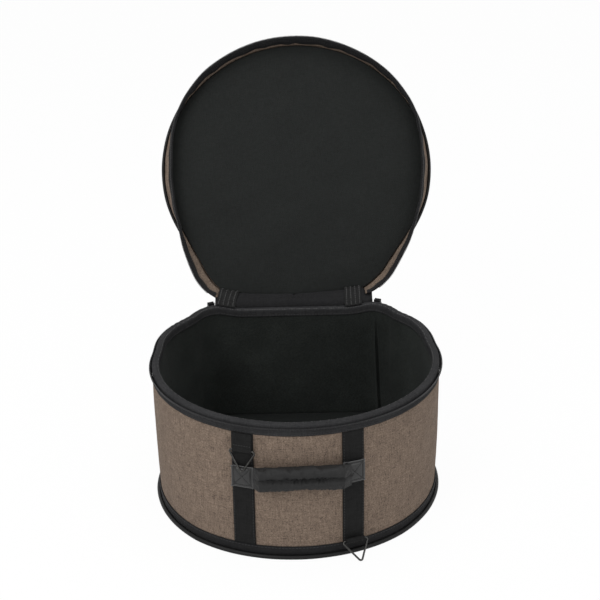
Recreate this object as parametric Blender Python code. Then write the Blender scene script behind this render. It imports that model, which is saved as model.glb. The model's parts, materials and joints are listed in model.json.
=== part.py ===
"""Soft bag for a 12 inch tom drum, standing open: padded body, zipped lid, handle and two wire rings.

Units are metres, +Z is up, +Y is the hinge side, -Y is the front with the handle.
The origin is on the base, at the centre of the front wall's arc.
"""
from math import acos, ceil, cos, pi, radians, sin, tan

import bmesh
import bpy
from mathutils import Vector

# Plan of the bag: a round front, two straight flanks that face FLANK_ANGLE off X, two corners, a flat back
PLAN_RADIUS = 0.182
BACK_DEPTH = 0.169
BACK_CORNER_RADIUS = 0.048
FLANK_ANGLE = radians(23.15)

# Heights
BODY_HEIGHT = 0.182
LID_DEPTH = 0.031

# Gap between pieces that touch
FIT = 0.0003

# Wall layers, from the outside in
FABRIC = 0.0012
WALL_FOAM = 0.005
LINING = 0.0008

# Base layers
BASE_BOARD = 0.005
BASE_BINDING_HEIGHT = 0.0104
BASE_PIPING_RADIUS = 0.0028

# Rim binding, which folds over the top of the wall
BINDING = 0.001
BINDING_DROP = 0.012

# Zip: the tape is sewn to the wall and leans out to its teeth
TAPE = 0.0008
TAPE_SEWN = 0.005
TAPE_HEIGHT = 0.008
TEETH_RADIUS = 0.0012
TEETH_STANDOFF = 0.0032
TEETH_BELOW_RIM = 0.005
TEETH_GAP = 0.0024
BODY_TAPE_START = radians(12)
BODY_TEETH_START = radians(17)
LID_TAPE_START = radians(17)
LID_TEETH_START = radians(31)
STOP_HALF = 0.0013
STOP_ARC = radians(3)

# Zip sliders, parked at the hinge corners
SLIDER_ANGLE = radians(24)
SLIDER_LENGTH = 0.009
SLIDER_PLATE = 0.001
SLIDER_CLEARANCE = 0.0004
SLIDER_SKIRT = 0.0022
SLIDER_HOOD = 0.007
BRIDGE_REACH = 0.0032
BRIDGE_THICK = 0.0012
BRIDGE_INNER_WIDTH = 0.0058
PULL_WIDTH = 0.0046
PULL_THICK = 0.0012
PULL_LENGTH = 0.02
PULL_EYE_RADIUS = 0.0012
PULL_EYE_WALL = 0.0009

# Lid layers
LID_FOAM = 0.005
LID_BAND_CLEARANCE = 0.003
LID_BAND_START = radians(14)
LID_PIPING_RADIUS = 0.0022

# Hinge: its axis lies behind and above the back rim
HINGE_BEHIND = 0.006
HINGE_ABOVE = 0.002
LID_OPEN_ANGLE = radians(116)
HINGE_PANEL = 0.001
HINGE_OVER_CORNER = 0.005
HINGE_SEWN = 0.013
HINGE_BEND_BELOW_RIM = 0.003
HINGE_LID_BEND = 0.014
HINGE_AXIS_GAP = 0.00065
HINGE_STRAP = 0.0012
HINGE_STRAP_WIDTH = 0.025
HINGE_STRAP_INSET = 0.013
HINGE_STRAP_SETBACK = 0.0024
HINGE_STRAP_LIFT = 0.0005

# Webbing straps down the front
STRAP = 0.0015
STRAP_WIDTH = 0.025
STRAP_CENTRE = 0.065

# Handle: webbing from patch to patch, with a padded grip
PATCH = 0.001
PATCH_WIDTH = 0.026
PATCH_HEIGHT = 0.028
HANDLE_BELOW_RING = 0.034
HANDLE_WEBBING = 0.0016
HANDLE_WEBBING_WIDTH = 0.019
HANDLE_ANCHOR = 0.003
HANDLE_ANCHOR_LENGTH = 0.023
HANDLE_RISE = 0.0125
GRIP_HALF_LENGTH = 0.048
GRIP_HALF_THICKNESS = 0.0068
GRIP_HALF_HEIGHT = 0.015
GRIP_COVER = 0.001
GRIP_CORE_HALF_HEIGHT = 0.011
GRIP_CORE_HALF_LENGTH = 0.043
GRIP_SETOUT = 0.0033

# Wire triangle rings and the webbing tabs that hold them
RING_WIDTH = 0.037
RING_HEIGHT = 0.031
RING_WIRE_RADIUS = 0.0012
RING_BEND_RADIUS = 0.0025
TAB = 0.0011
TAB_WIDTH = 0.024
UPPER_RING_DROP = 0.036
UPPER_RING_LEAN = radians(10)
LOWER_RING_HEIGHT = 0.022
LOWER_RING_STANDOFF = 0.008
LOWER_RING_LEAN = radians(47)
LOWER_TAB_ROOT_HEIGHT = 0.0125

# Shape of the curves
GRIP_SECTION_POWER = 2.6
HANDLE_PATH_POWER = 14
GRIP_ROW_SHARES = (-1, -0.95, -0.85, -0.65, -0.3, 0, 0.3, 0.65, 0.85, 0.95, 1)
ARC_STEP = radians(8)
FINE_STEP = radians(2)
TUBE_SIDES = 6
GRIP_SIDES = 16
HANDLE_HALF_STEPS = 16
EYE_STEPS = 10
EYE_TAIL_SHARES = ((-1, 0.4, radians(60)), (-1, 1, radians(20)), (1, 1, radians(20)), (1, 0.4, radians(60)))
BEND_STEPS = 3
SHARP_ANGLE = radians(35)

# Places that follow from the sizes above
BACK_ANGLE = pi / 2
FULL_TURN = 2 * pi
FRONT_ANGLE = 3 * pi / 2
RIM = BODY_HEIGHT
BACK_CORNER_DEPTH = BACK_DEPTH - BACK_CORNER_RADIUS
BACK_FLAT_HALF_WIDTH = (
    PLAN_RADIUS - BACK_CORNER_RADIUS - BACK_CORNER_DEPTH * sin(FLANK_ANGLE)) / cos(FLANK_ANGLE)
FOAM_OUTER = -FABRIC - FIT
FOAM_INNER = FOAM_OUTER - WALL_FOAM
LINING_OUTER = FOAM_INNER - FIT
LINING_INNER = LINING_OUTER - LINING
BASE_TOP = FABRIC + FIT + BASE_BOARD
FLOOR_TOP = BASE_TOP + FIT + LINING
BASE_BINDING_FOOT = 2 * (BASE_PIPING_RADIUS + FIT) + FIT
BASE_BINDING_TOP = BASE_BINDING_FOOT + BASE_BINDING_HEIGHT
TEETH_HEIGHT = RIM - TEETH_BELOW_RIM
LID_TEETH_HEIGHT = TEETH_HEIGHT + 2 * TEETH_RADIUS + TEETH_GAP
BODY_TAPE_TOP = TEETH_HEIGHT - TEETH_RADIUS - FIT
BODY_TAPE_FOOT = BODY_TAPE_TOP - TAPE_HEIGHT
LID_TAPE_FOOT = LID_TEETH_HEIGHT + TEETH_RADIUS + FIT
LID_TAPE_TOP = LID_TAPE_FOOT + TAPE_HEIGHT
LID_TOP = RIM + LID_DEPTH
LID_FOAM_TOP = LID_TOP - FABRIC - FIT
LID_LINING_TOP = LID_FOAM_TOP - LID_FOAM - FIT
STRAP_FOOT = BASE_BINDING_TOP + FIT
STRAP_TOP = BODY_TAPE_FOOT - FIT
STRAP_OUTER = FIT + STRAP
HINGE_AXIS = Vector((0, BACK_DEPTH + HINGE_BEHIND, RIM + HINGE_ABOVE))
HINGE_HALF_WIDTH = BACK_FLAT_HALF_WIDTH + HINGE_OVER_CORNER
HINGE_STRAP_CENTRE = HINGE_HALF_WIDTH - HINGE_STRAP_INSET
UPPER_RING_HEIGHT = RIM - UPPER_RING_DROP
HANDLE_HEIGHT = UPPER_RING_HEIGHT - HANDLE_BELOW_RING
EYE_INNER = RING_WIRE_RADIUS + FIT
EYE_OUTER = EYE_INNER + TAB
ANCHOR_INNER = STRAP_OUTER + FIT
ANCHOR_OUTER = ANCHOR_INNER + HANDLE_ANCHOR
PATCH_INNER = ANCHOR_OUTER + FIT
HANDLE_END = STRAP_CENTRE - PATCH_WIDTH / 2
HANDLE_END_ANGLE = HANDLE_END / PLAN_RADIUS
HANDLE_AXIS_RADIUS = PLAN_RADIUS + (ANCHOR_INNER + ANCHOR_OUTER) / 2
STRAP_ANGLE = STRAP_CENTRE / PLAN_RADIUS


def clear_scene():
    for item in list(bpy.data.objects):
        bpy.data.objects.remove(item)


def material(name, colour, roughness, metallic=0.0):
    made = bpy.data.materials.new(name)
    made.use_nodes = True
    surface = made.node_tree.nodes["Principled BSDF"]
    surface.inputs["Base Color"].default_value = (*colour, 1)
    surface.inputs["Roughness"].default_value = roughness
    surface.inputs["Metallic"].default_value = metallic
    return made


def add_empty(name, place, turn=(0, 0, 0)):
    made = bpy.data.objects.new(name, None)
    made.location = place
    made.rotation_euler = turn
    bpy.context.scene.collection.objects.link(made)
    return made


def add_mesh(name, corners, faces, finish, parent=None, turn=(0, 0, 0)):
    """One closed body from corners and faces, given relative to its parent."""
    mesh = bpy.data.meshes.new(name)
    shape = bmesh.new()
    points = [shape.verts.new(corner) for corner in corners]
    for face in faces:
        shape.faces.new([points[index] for index in face])
    bmesh.ops.recalc_face_normals(shape, faces=shape.faces)
    shape.to_mesh(mesh)
    shape.free()
    mesh.shade_smooth()
    mesh.set_sharp_from_angle(angle=SHARP_ANGLE)
    mesh.materials.append(finish)
    made = bpy.data.objects.new(name, mesh)
    made.rotation_euler = turn
    made.parent = parent
    bpy.context.scene.collection.objects.link(made)
    return made


def loft(sections, closed):
    """Corners and faces of a solid through like sections, joined end to end or capped."""
    count = len(sections[0])
    corners = [corner for section in sections for corner in section]
    faces = []
    spans = len(sections) if closed else len(sections) - 1
    for row in range(spans):
        here = row * count
        there = ((row + 1) % len(sections)) * count
        for index in range(count):
            after = (index + 1) % count
            faces.append((here + index, here + after, there + after, there + index))
    if not closed:
        faces.append(tuple(range(count)))
        faces.append(tuple(range(len(corners) - count, len(corners))))
    return corners, faces


def prism(outline, half_width):
    """Corners and faces of an outline in Y and Z, extruded both ways along X."""
    sections = [[Vector((x, y, z)) for y, z in outline] for x in (-half_width, half_width)]
    return loft(sections, closed=False)


def pierced_prism(outer, inner, half_width):
    """Like prism, with a hole whose outline has as many points as the outer one."""
    rows = []
    for outline, x in ((outer, -half_width), (outer, half_width), (inner, half_width), (inner, -half_width)):
        rows.append([Vector((x, y, z)) for y, z in outline])
    return loft(rows, closed=True)


def ribbon(path, thickness):
    """Outline of a strip of even thickness along a path in a plane."""
    left = []
    right = []
    for index, point in enumerate(path):
        before = Vector(path[max(index - 1, 0)])
        after = Vector(path[min(index + 1, len(path) - 1)])
        first = (Vector(point) - before).normalized() if index else (after - Vector(point)).normalized()
        last = (after - Vector(point)).normalized() if index < len(path) - 1 else first
        along = (first + last).normalized()
        side = Vector((-along.y, along.x)) * thickness / 2 / max(along.dot(first), FIT)
        left.append(tuple(Vector(point) + side))
        right.append(tuple(Vector(point) - side))
    return left + right[::-1]


def circle(centre, radius):
    points = []
    for step in range(TUBE_SIDES):
        angle = FULL_TURN * (step + 0.5) / TUBE_SIDES
        points.append((centre[0] + radius * cos(angle), centre[1] + radius * sin(angle)))
    return points


def rectangle(inner, outer, foot, top):
    return [(inner, foot), (outer, foot), (outer, top), (inner, top)]


def corner_centre(side):
    return Vector((side * BACK_FLAT_HALF_WIDTH, BACK_CORNER_DEPTH, 0))


def plan_arcs():
    """The plan's arcs from the back round by the left, the front and the right: centre, radius, angles."""
    left = pi - FLANK_ANGLE
    right = FULL_TURN + FLANK_ANGLE
    return [
        (corner_centre(-1), BACK_CORNER_RADIUS, BACK_ANGLE, left),
        (Vector((0, 0, 0)), PLAN_RADIUS, left, right),
        (corner_centre(1), BACK_CORNER_RADIUS, right, FULL_TURN + BACK_ANGLE),
    ]


def stations(start, end, step=ARC_STEP):
    """Points on the plan with their outward directions, from one facing angle to another."""
    found = []
    for centre, radius, first, last in plan_arcs():
        low = max(first, start)
        high = min(last, end)
        if high <= low:
            continue
        count = ceil((high - low) / step)
        for index in range(count + 1):
            angle = low + (high - low) * index / count
            outward = Vector((cos(angle), sin(angle), 0))
            found.append((centre + radius * outward, outward))
    return found


def sweep(profile, places, closed, origin=Vector()):
    """Carry a profile, given as distance outward and height, round the plan."""
    sections = []
    for point, outward in places:
        sections.append([point + outward * out + Vector((0, 0, height)) - origin for out, height in profile])
    return loft(sections, closed)


def hoop(name, profile, finish, parent=None, origin=Vector()):
    """A band that goes all the way round."""
    corners, faces = sweep(profile, stations(BACK_ANGLE, BACK_ANGLE + FULL_TURN), True, origin)
    return add_mesh(name, corners, faces, finish, parent)


def open_band(name, profile, corner_start, finish, parent=None, origin=Vector()):
    """A band round the front that leaves the back open, from one back corner to the other."""
    start = BACK_ANGLE + corner_start
    end = BACK_ANGLE + FULL_TURN - corner_start
    corners, faces = sweep(profile, stations(start, end), False, origin)
    return add_mesh(name, corners, faces, finish, parent)


def front_band(name, profile, centre_angle, half_width, finish):
    """A narrow strip on the front wall, centred at an angle from straight ahead."""
    half_angle = half_width / PLAN_RADIUS
    middle = FRONT_ANGLE + centre_angle
    places = stations(middle - half_angle, middle + half_angle, FINE_STEP)
    corners, faces = sweep(profile, places, False)
    return add_mesh(name, corners, faces, finish)


def plate(name, out, foot, top, finish, parent=None, origin=Vector()):
    """A flat sheet that fills the plan, offset from its edge."""
    places = stations(BACK_ANGLE, BACK_ANGLE + FULL_TURN)
    sections = []
    for height in (foot, top):
        rise = Vector((0, 0, height))
        sections.append([point + outward * out + rise - origin for point, outward in places])
    corners, faces = loft(sections, closed=False)
    return add_mesh(name, corners, faces, finish, parent)


def make_base(finishes):
    plate("base_fabric", 0, 0, FABRIC, finishes["trim"])
    plate("base_board", FOAM_OUTER, FABRIC + FIT, BASE_TOP, finishes["foam"])
    plate("base_lining", LINING_OUTER, BASE_TOP + FIT, FLOOR_TOP, finishes["lining"])
    binding = rectangle(FIT, FIT + BINDING, BASE_BINDING_FOOT, BASE_BINDING_TOP)
    hoop("base_binding", binding, finishes["trim"])
    middle = BASE_PIPING_RADIUS + FIT
    hoop("base_piping", circle((middle, middle), BASE_PIPING_RADIUS), finishes["piping"])


def make_wall(finishes):
    wall_top = RIM - BINDING - FIT
    hoop("outer_wall", rectangle(-FABRIC, 0, FABRIC + FIT, RIM - BINDING_DROP - FIT), finishes["fabric"])
    hoop("wall_foam", rectangle(FOAM_INNER, FOAM_OUTER, BASE_TOP + FIT, wall_top), finishes["foam"])
    hoop("wall_lining", rectangle(LINING_INNER, LINING_OUTER, FLOOR_TOP + FIT, wall_top), finishes["lining"])


def make_rim_binding(finishes):
    foot = RIM - BINDING_DROP
    inner_face = LINING_INNER - FIT
    profile = [
        (-FABRIC, foot),
        (0, foot),
        (0, RIM),
        (inner_face - BINDING, RIM),
        (inner_face - BINDING, foot),
        (inner_face, foot),
        (inner_face, RIM - BINDING),
        (-FABRIC, RIM - BINDING),
    ]
    hoop("rim_binding", profile, finishes["trim"])


def tape_profile(sewn_end, bend, teeth_end):
    """Zip tape: flat where it is sewn on, then leaning out to the teeth."""
    return [
        (FIT, sewn_end),
        (FIT + TAPE, sewn_end),
        (FIT + TAPE, bend),
        (TEETH_STANDOFF + TAPE / 2, teeth_end),
        (TEETH_STANDOFF - TAPE / 2, teeth_end),
        (FIT, bend),
    ]


def make_body_zip(finishes):
    profile = tape_profile(BODY_TAPE_FOOT, BODY_TAPE_FOOT + TAPE_SEWN, BODY_TAPE_TOP)
    open_band("body_zip_tape", profile, BODY_TAPE_START, finishes["tape"])
    teeth = circle((TEETH_STANDOFF, TEETH_HEIGHT), TEETH_RADIUS)
    open_band("body_zip_teeth", teeth, BODY_TEETH_START, finishes["teeth"])
    stop = rectangle(
        TEETH_STANDOFF - STOP_HALF, TEETH_STANDOFF + STOP_HALF,
        BODY_TAPE_TOP + FIT, TEETH_HEIGHT + STOP_HALF)
    near = BODY_TEETH_START - FIT / BACK_CORNER_RADIUS
    for side, word in ((-1, "left"), (1, "right")):
        edges = sorted((BACK_ANGLE - side * near, BACK_ANGLE - side * (near - STOP_ARC)))
        if side > 0:
            edges = [edge + FULL_TURN for edge in edges]
        corners, faces = sweep(stop, stations(edges[0], edges[1]), False)
        add_mesh("zip_stop_" + word, corners, faces, finishes["metal"])


def slider_profile():
    """H section of a slider: two plates either side of the teeth and a web above the lower row."""
    inner_far = TEETH_STANDOFF - TEETH_RADIUS - SLIDER_CLEARANCE
    outer_near = TEETH_STANDOFF + TEETH_RADIUS + SLIDER_CLEARANCE
    foot = TEETH_HEIGHT - SLIDER_SKIRT
    top = TEETH_HEIGHT + SLIDER_HOOD
    web_foot = TEETH_HEIGHT + TEETH_RADIUS + FIT
    web_top = web_foot + TEETH_GAP - 2 * FIT
    return [
        (inner_far - SLIDER_PLATE, foot),
        (inner_far, foot),
        (inner_far, web_foot),
        (outer_near, web_foot),
        (outer_near, foot),
        (outer_near + SLIDER_PLATE, foot),
        (outer_near + SLIDER_PLATE, top),
        (outer_near, top),
        (outer_near, web_top),
        (inner_far, web_top),
        (inner_far, top),
        (inner_far - SLIDER_PLATE, top),
    ]


def to_slider_frame(profile):
    """Profile points in a slider's own frame: outward is +Y from the corner's centre."""
    return [(BACK_CORNER_RADIUS + out, height) for out, height in profile]


def bridge_out():
    """Distance outward of the middle of a slider's bridge."""
    return TEETH_STANDOFF + TEETH_RADIUS + SLIDER_CLEARANCE + SLIDER_PLATE + BRIDGE_REACH - BRIDGE_THICK / 2


def make_bridge(name, parent, finish):
    """Staple on a slider's outer plate, which the pull hangs from."""
    root = bridge_out() + BRIDGE_THICK / 2 - BRIDGE_REACH - SLIDER_PLATE / 2
    tip = bridge_out() + BRIDGE_THICK / 2
    half = BRIDGE_INNER_WIDTH / 2
    plan = [
        (-half - BRIDGE_THICK, root),
        (-half, root),
        (-half, tip - BRIDGE_THICK),
        (half, tip - BRIDGE_THICK),
        (half, root),
        (half + BRIDGE_THICK, root),
        (half + BRIDGE_THICK, tip),
        (-half - BRIDGE_THICK, tip),
    ]
    sections = []
    for height in (TEETH_HEIGHT - BRIDGE_THICK / 2, TEETH_HEIGHT + BRIDGE_THICK / 2):
        sections.append([Vector((along, BACK_CORNER_RADIUS + out, height)) for along, out in plan])
    corners, faces = loft(sections, closed=False)
    made = add_mesh(name, corners, faces, finish, parent)
    made.hide_render = True
    made.display_type = "WIRE"
    return made


def eye_outlines(centre, tail, inner_radius, outer_radius, tail_half):
    """Outer and inner outlines of a strap end that wraps a bar: an eye with a tail to a point."""
    middle = Vector(centre)
    back = Vector(tail) - middle
    toward = back.normalized()
    across = Vector((-toward.y, toward.x))
    spread = acos(min(tail_half / outer_radius, 1)) - pi / 2
    outer = []
    inner = []
    sweep_angle = FULL_TURN + 2 * spread - pi
    for index in range(EYE_STEPS + 1):
        angle = pi / 2 + (pi - sweep_angle) / 2 + sweep_angle * index / EYE_STEPS
        ray = toward * cos(angle) + across * sin(angle)
        outer.append(middle + ray * outer_radius)
        inner.append(middle + ray * inner_radius)
    tail_point = Vector(tail)
    for side, reach_share, turn in EYE_TAIL_SHARES:
        shoulder = outer[EYE_STEPS] if side < 0 else outer[0]
        corner = tail_point + across * tail_half * side
        outer.append(shoulder + (corner - shoulder) * reach_share)
        ray = toward * cos(turn) + across * side * sin(turn)
        inner.append(middle + ray * inner_radius)
    return [tuple(point) for point in outer], [tuple(point) for point in inner]


def make_sliders(finishes):
    eye_outer = PULL_EYE_RADIUS + PULL_EYE_WALL
    for side, word in ((-1, "left"), (1, "right")):
        heading = -side * SLIDER_ANGLE
        pivot = add_empty("slider_pivot_" + word, corner_centre(side), (0, 0, heading))
        corners, faces = prism(to_slider_frame(slider_profile()), SLIDER_LENGTH / 2)
        slider = add_mesh("zip_slider_" + word, corners, faces, finishes["metal"], pivot)
        bridge = make_bridge("bridge_" + word, pivot, finishes["metal"])
        join = slider.modifiers.new("bridge", "BOOLEAN")
        join.operation = "UNION"
        join.solver = "EXACT"
        join.object = bridge
        hang = Vector((0, BACK_CORNER_RADIUS + bridge_out(), TEETH_HEIGHT))
        pull_pivot = add_empty("pull_pivot_" + word, hang)
        pull_pivot.parent = pivot
        outer, inner = eye_outlines((0, 0), (0, -PULL_LENGTH), PULL_EYE_RADIUS, eye_outer, PULL_THICK / 2)
        corners, faces = pierced_prism(outer, inner, PULL_WIDTH / 2)
        add_mesh("zip_pull_" + word, corners, faces, finishes["metal"], pull_pivot)


def make_straps(finishes):
    profile = rectangle(FIT, STRAP_OUTER, STRAP_FOOT, STRAP_TOP)
    for side, word in ((-1, "left"), (1, "right")):
        front_band("strap_" + word, profile, side * STRAP_ANGLE, STRAP_WIDTH / 2, finishes["webbing"])


def make_patches(finishes):
    foot = HANDLE_HEIGHT - PATCH_HEIGHT / 2
    top = HANDLE_HEIGHT + PATCH_HEIGHT / 2
    patch = rectangle(PATCH_INNER, PATCH_INNER + PATCH, foot, top)
    anchor = rectangle(
        ANCHOR_INNER, ANCHOR_OUTER,
        HANDLE_HEIGHT - HANDLE_WEBBING_WIDTH / 2, HANDLE_HEIGHT + HANDLE_WEBBING_WIDTH / 2)
    anchor_angle = (HANDLE_END + HANDLE_ANCHOR_LENGTH / 2) / PLAN_RADIUS
    for side, word in ((-1, "left"), (1, "right")):
        front_band("handle_patch_" + word, patch, side * STRAP_ANGLE, PATCH_WIDTH / 2, finishes["patch"])
        name = "handle_anchor_" + word
        front_band(name, anchor, side * anchor_angle, HANDLE_ANCHOR_LENGTH / 2, finishes["webbing"])


def handle_rise(x, half_span):
    """How far the handle's webbing stands out from the line between its two ends."""
    return HANDLE_RISE * max(1 - abs(x / half_span) ** HANDLE_PATH_POWER, 0) ** 0.5


def superellipse(centre, half_across, half_height):
    """Rounded section as distance outward and height."""
    points = []
    for step in range(GRIP_SIDES):
        angle = FULL_TURN * (step + 0.5) / GRIP_SIDES
        across = abs(cos(angle)) ** (2 / GRIP_SECTION_POWER) * (1 if cos(angle) > 0 else -1)
        up = abs(sin(angle)) ** (2 / GRIP_SECTION_POWER) * (1 if sin(angle) > 0 else -1)
        points.append((centre + half_across * across, half_height * up))
    return points


def make_handle(finishes):
    """Webbing, foam core and cover, in a frame on the line between the two patches."""
    half_span = (PLAN_RADIUS + ANCHOR_INNER) * sin(HANDLE_END_ANGLE) - FIT - HANDLE_WEBBING / 2
    axis = Vector((0, -HANDLE_AXIS_RADIUS * cos(HANDLE_END_ANGLE), HANDLE_HEIGHT))
    pivot = add_empty("handle_pivot", axis)
    path = []
    for step in range(-HANDLE_HALF_STEPS, HANDLE_HALF_STEPS + 1):
        x = half_span * sin(step / HANDLE_HALF_STEPS * pi / 2)
        path.append((x, -handle_rise(x, half_span)))
    strip = ribbon(path, HANDLE_WEBBING)
    sections = []
    for height in (-HANDLE_WEBBING_WIDTH / 2, HANDLE_WEBBING_WIDTH / 2):
        sections.append([Vector((x, y, height)) for x, y in strip])
    corners, faces = loft(sections, closed=False)
    add_mesh("handle_webbing", corners, faces, finishes["webbing"], pivot)

    cavity_thickness = GRIP_HALF_THICKNESS - GRIP_COVER
    cavity_height = GRIP_HALF_HEIGHT - GRIP_COVER
    outer_rows = []
    inner_rows = []
    for share in GRIP_ROW_SHARES:
        x = GRIP_HALF_LENGTH * share
        middle = handle_rise(x, half_span) + GRIP_SETOUT
        outer = superellipse(middle, GRIP_HALF_THICKNESS, GRIP_HALF_HEIGHT)
        inner = superellipse(middle, cavity_thickness, cavity_height)
        outer_rows.append([Vector((x, -out, height)) for out, height in outer])
        inner_rows.append([Vector((x, -out, height)) for out, height in inner])
    corners, faces = loft(outer_rows + inner_rows[::-1], closed=True)
    add_mesh("grip_cover", corners, faces, finishes["grip"], pivot)

    core_near = HANDLE_WEBBING / 2 + 2 * FIT
    core_far = GRIP_SETOUT + cavity_thickness - FIT
    core_half = (core_far - core_near) / 2
    core_rows = []
    for share in GRIP_ROW_SHARES:
        x = GRIP_CORE_HALF_LENGTH * share
        middle = handle_rise(x, half_span) + core_near + core_half
        core = superellipse(middle, core_half, GRIP_CORE_HALF_HEIGHT)
        core_rows.append([Vector((x, -out, height)) for out, height in core])
    corners, faces = loft(core_rows, closed=False)
    add_mesh("grip_core", corners, faces, finishes["foam"], pivot)


def ring_points():
    """Centre line of a triangle ring that hangs from its bar, with bent corners."""
    half = RING_WIDTH / 2 - RING_WIRE_RADIUS
    drop = RING_HEIGHT - 2 * RING_WIRE_RADIUS
    tips = [Vector((-half, 0, 0)), Vector((half, 0, 0)), Vector((0, 0, -drop))]
    points = []
    for index, tip in enumerate(tips):
        before = (tips[index - 1] - tip).normalized()
        after = (tips[(index + 1) % 3] - tip).normalized()
        half_angle = before.angle(after) / 2
        inward = (before + after).normalized()
        centre = tip + inward * RING_BEND_RADIUS / sin(half_angle)
        reach = RING_BEND_RADIUS / tan(half_angle)
        first = (tip + before * reach - centre).normalized()
        last = (tip + after * reach - centre).normalized()
        for step in range(BEND_STEPS + 1):
            ray = first.slerp(last, step / BEND_STEPS)
            points.append(centre + ray * RING_BEND_RADIUS)
    return points


def make_ring(name, parent, finish):
    curve = bpy.data.curves.new(name, "CURVE")
    curve.dimensions = "3D"
    curve.bevel_depth = RING_WIRE_RADIUS
    curve.bevel_resolution = 1
    curve.materials.append(finish)
    line = curve.splines.new("POLY")
    points = ring_points()
    line.points.add(len(points) - 1)
    for slot, point in zip(line.points, points):
        slot.co = (*point, 1)
    line.use_cyclic_u = True
    made = bpy.data.objects.new(name, curve)
    made.parent = parent
    bpy.context.scene.collection.objects.link(made)


def make_tab(name, bar, root, heading, finish):
    """Webbing folded round a ring's bar: bar and root are given as distance outward and height."""
    centre = (-PLAN_RADIUS - bar[0], bar[1])
    tail = (-PLAN_RADIUS - root[0], root[1])
    outer, inner = eye_outlines(centre, tail, EYE_INNER, EYE_OUTER, TAB)
    corners, faces = pierced_prism(outer, inner, TAB_WIDTH / 2)
    add_mesh(name, corners, faces, finish, None, (0, 0, heading))


def front_point(out, height, heading):
    """Place on the front, given as distance outward from the wall, height and angle."""
    return Vector(((PLAN_RADIUS + out) * sin(heading), -(PLAN_RADIUS + out) * cos(heading), height))


def make_rings(finishes):
    upper_out = STRAP_OUTER + FIT + EYE_OUTER
    heading = -STRAP_ANGLE
    root = (STRAP_OUTER + FIT + TAB, STRAP_TOP)
    make_tab("ring_tab_upper", (upper_out, UPPER_RING_HEIGHT), root, heading, finishes["webbing"])
    place = front_point(upper_out, UPPER_RING_HEIGHT, heading)
    pivot = add_empty("ring_pivot_upper", place, (-UPPER_RING_LEAN, 0, heading))
    make_ring("ring_upper", pivot, finishes["wire"])

    heading = STRAP_ANGLE
    root = (FIT + BINDING + FIT + TAB, LOWER_TAB_ROOT_HEIGHT)
    bar = (LOWER_RING_STANDOFF, LOWER_RING_HEIGHT)
    make_tab("ring_tab_lower", bar, root, heading, finishes["webbing"])
    place = front_point(LOWER_RING_STANDOFF, LOWER_RING_HEIGHT, heading)
    pivot = add_empty("ring_pivot_lower", place, (-LOWER_RING_LEAN, 0, heading))
    make_ring("ring_lower", pivot, finishes["wire"])


def hinge_paths():
    """Paths in Y and Z from the hinge axis: down to the body, and up to the closed lid."""
    sewn = BACK_DEPTH + FIT + HINGE_PANEL / 2
    body = [
        (HINGE_AXIS.y, HINGE_AXIS.z),
        (sewn, RIM - HINGE_BEND_BELOW_RIM),
        (sewn, RIM - HINGE_SEWN),
    ]
    lid_plane = BACK_DEPTH - FABRIC / 2
    lid = [
        (HINGE_AXIS.y, HINGE_AXIS.z),
        (lid_plane, RIM + HINGE_LID_BEND),
        (lid_plane, LID_FOAM_TOP),
    ]
    return body, lid


def shortened(path, distance):
    """The path with its first point moved along it."""
    first = Vector(path[0])
    step = (Vector(path[1]) - first).normalized() * distance
    return [tuple(first + step)] + list(path[1:])


def beside(path, distance):
    """The path moved sideways: to its left for a positive distance."""
    edge = ribbon(path, 2 * distance)
    return edge[:len(path)]


def relative(path):
    return [(y - HINGE_AXIS.y, z - HINGE_AXIS.z) for y, z in path]


def make_hinge(finishes, lid_pivot):
    body, lid = hinge_paths()
    strip = ribbon(shortened(body, HINGE_AXIS_GAP), HINGE_PANEL)
    corners, faces = prism(strip, HINGE_HALF_WIDTH)
    add_mesh("hinge_panel_body", corners, faces, finishes["trim"])
    strip = ribbon(relative(shortened(lid, HINGE_AXIS_GAP)), HINGE_PANEL)
    corners, faces = prism(strip, HINGE_HALF_WIDTH)
    add_mesh("hinge_panel_lid", corners, faces, finishes["trim"], lid_pivot)

    gap = HINGE_PANEL / 2 + FIT + HINGE_STRAP / 2
    over_rim = [
        (HINGE_AXIS.y - HINGE_STRAP_SETBACK, RIM + FIT + HINGE_STRAP / 2 + HINGE_STRAP_LIFT),
        (BACK_DEPTH - FABRIC, RIM + FIT + HINGE_STRAP / 2),
        (BACK_DEPTH + LINING_INNER, RIM + FIT + HINGE_STRAP / 2),
    ]
    lid_inner = beside(shortened(lid, HINGE_STRAP_SETBACK), gap)
    lid_inner[-1] = (lid_inner[-1][0], LID_LINING_TOP - LINING - FIT)
    for side, word in ((-1, "left"), (1, "right")):
        shift = Vector((side * HINGE_STRAP_CENTRE, 0, 0))
        corners, faces = prism(ribbon(over_rim, HINGE_STRAP), HINGE_STRAP_WIDTH / 2)
        shifted = [point + shift for point in corners]
        add_mesh("hinge_strap_body_" + word, shifted, faces, finishes["webbing"])
        corners, faces = prism(ribbon(relative(lid_inner), HINGE_STRAP), HINGE_STRAP_WIDTH / 2)
        shifted = [point + shift for point in corners]
        add_mesh("hinge_strap_lid_" + word, shifted, faces, finishes["webbing"], lid_pivot)


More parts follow.
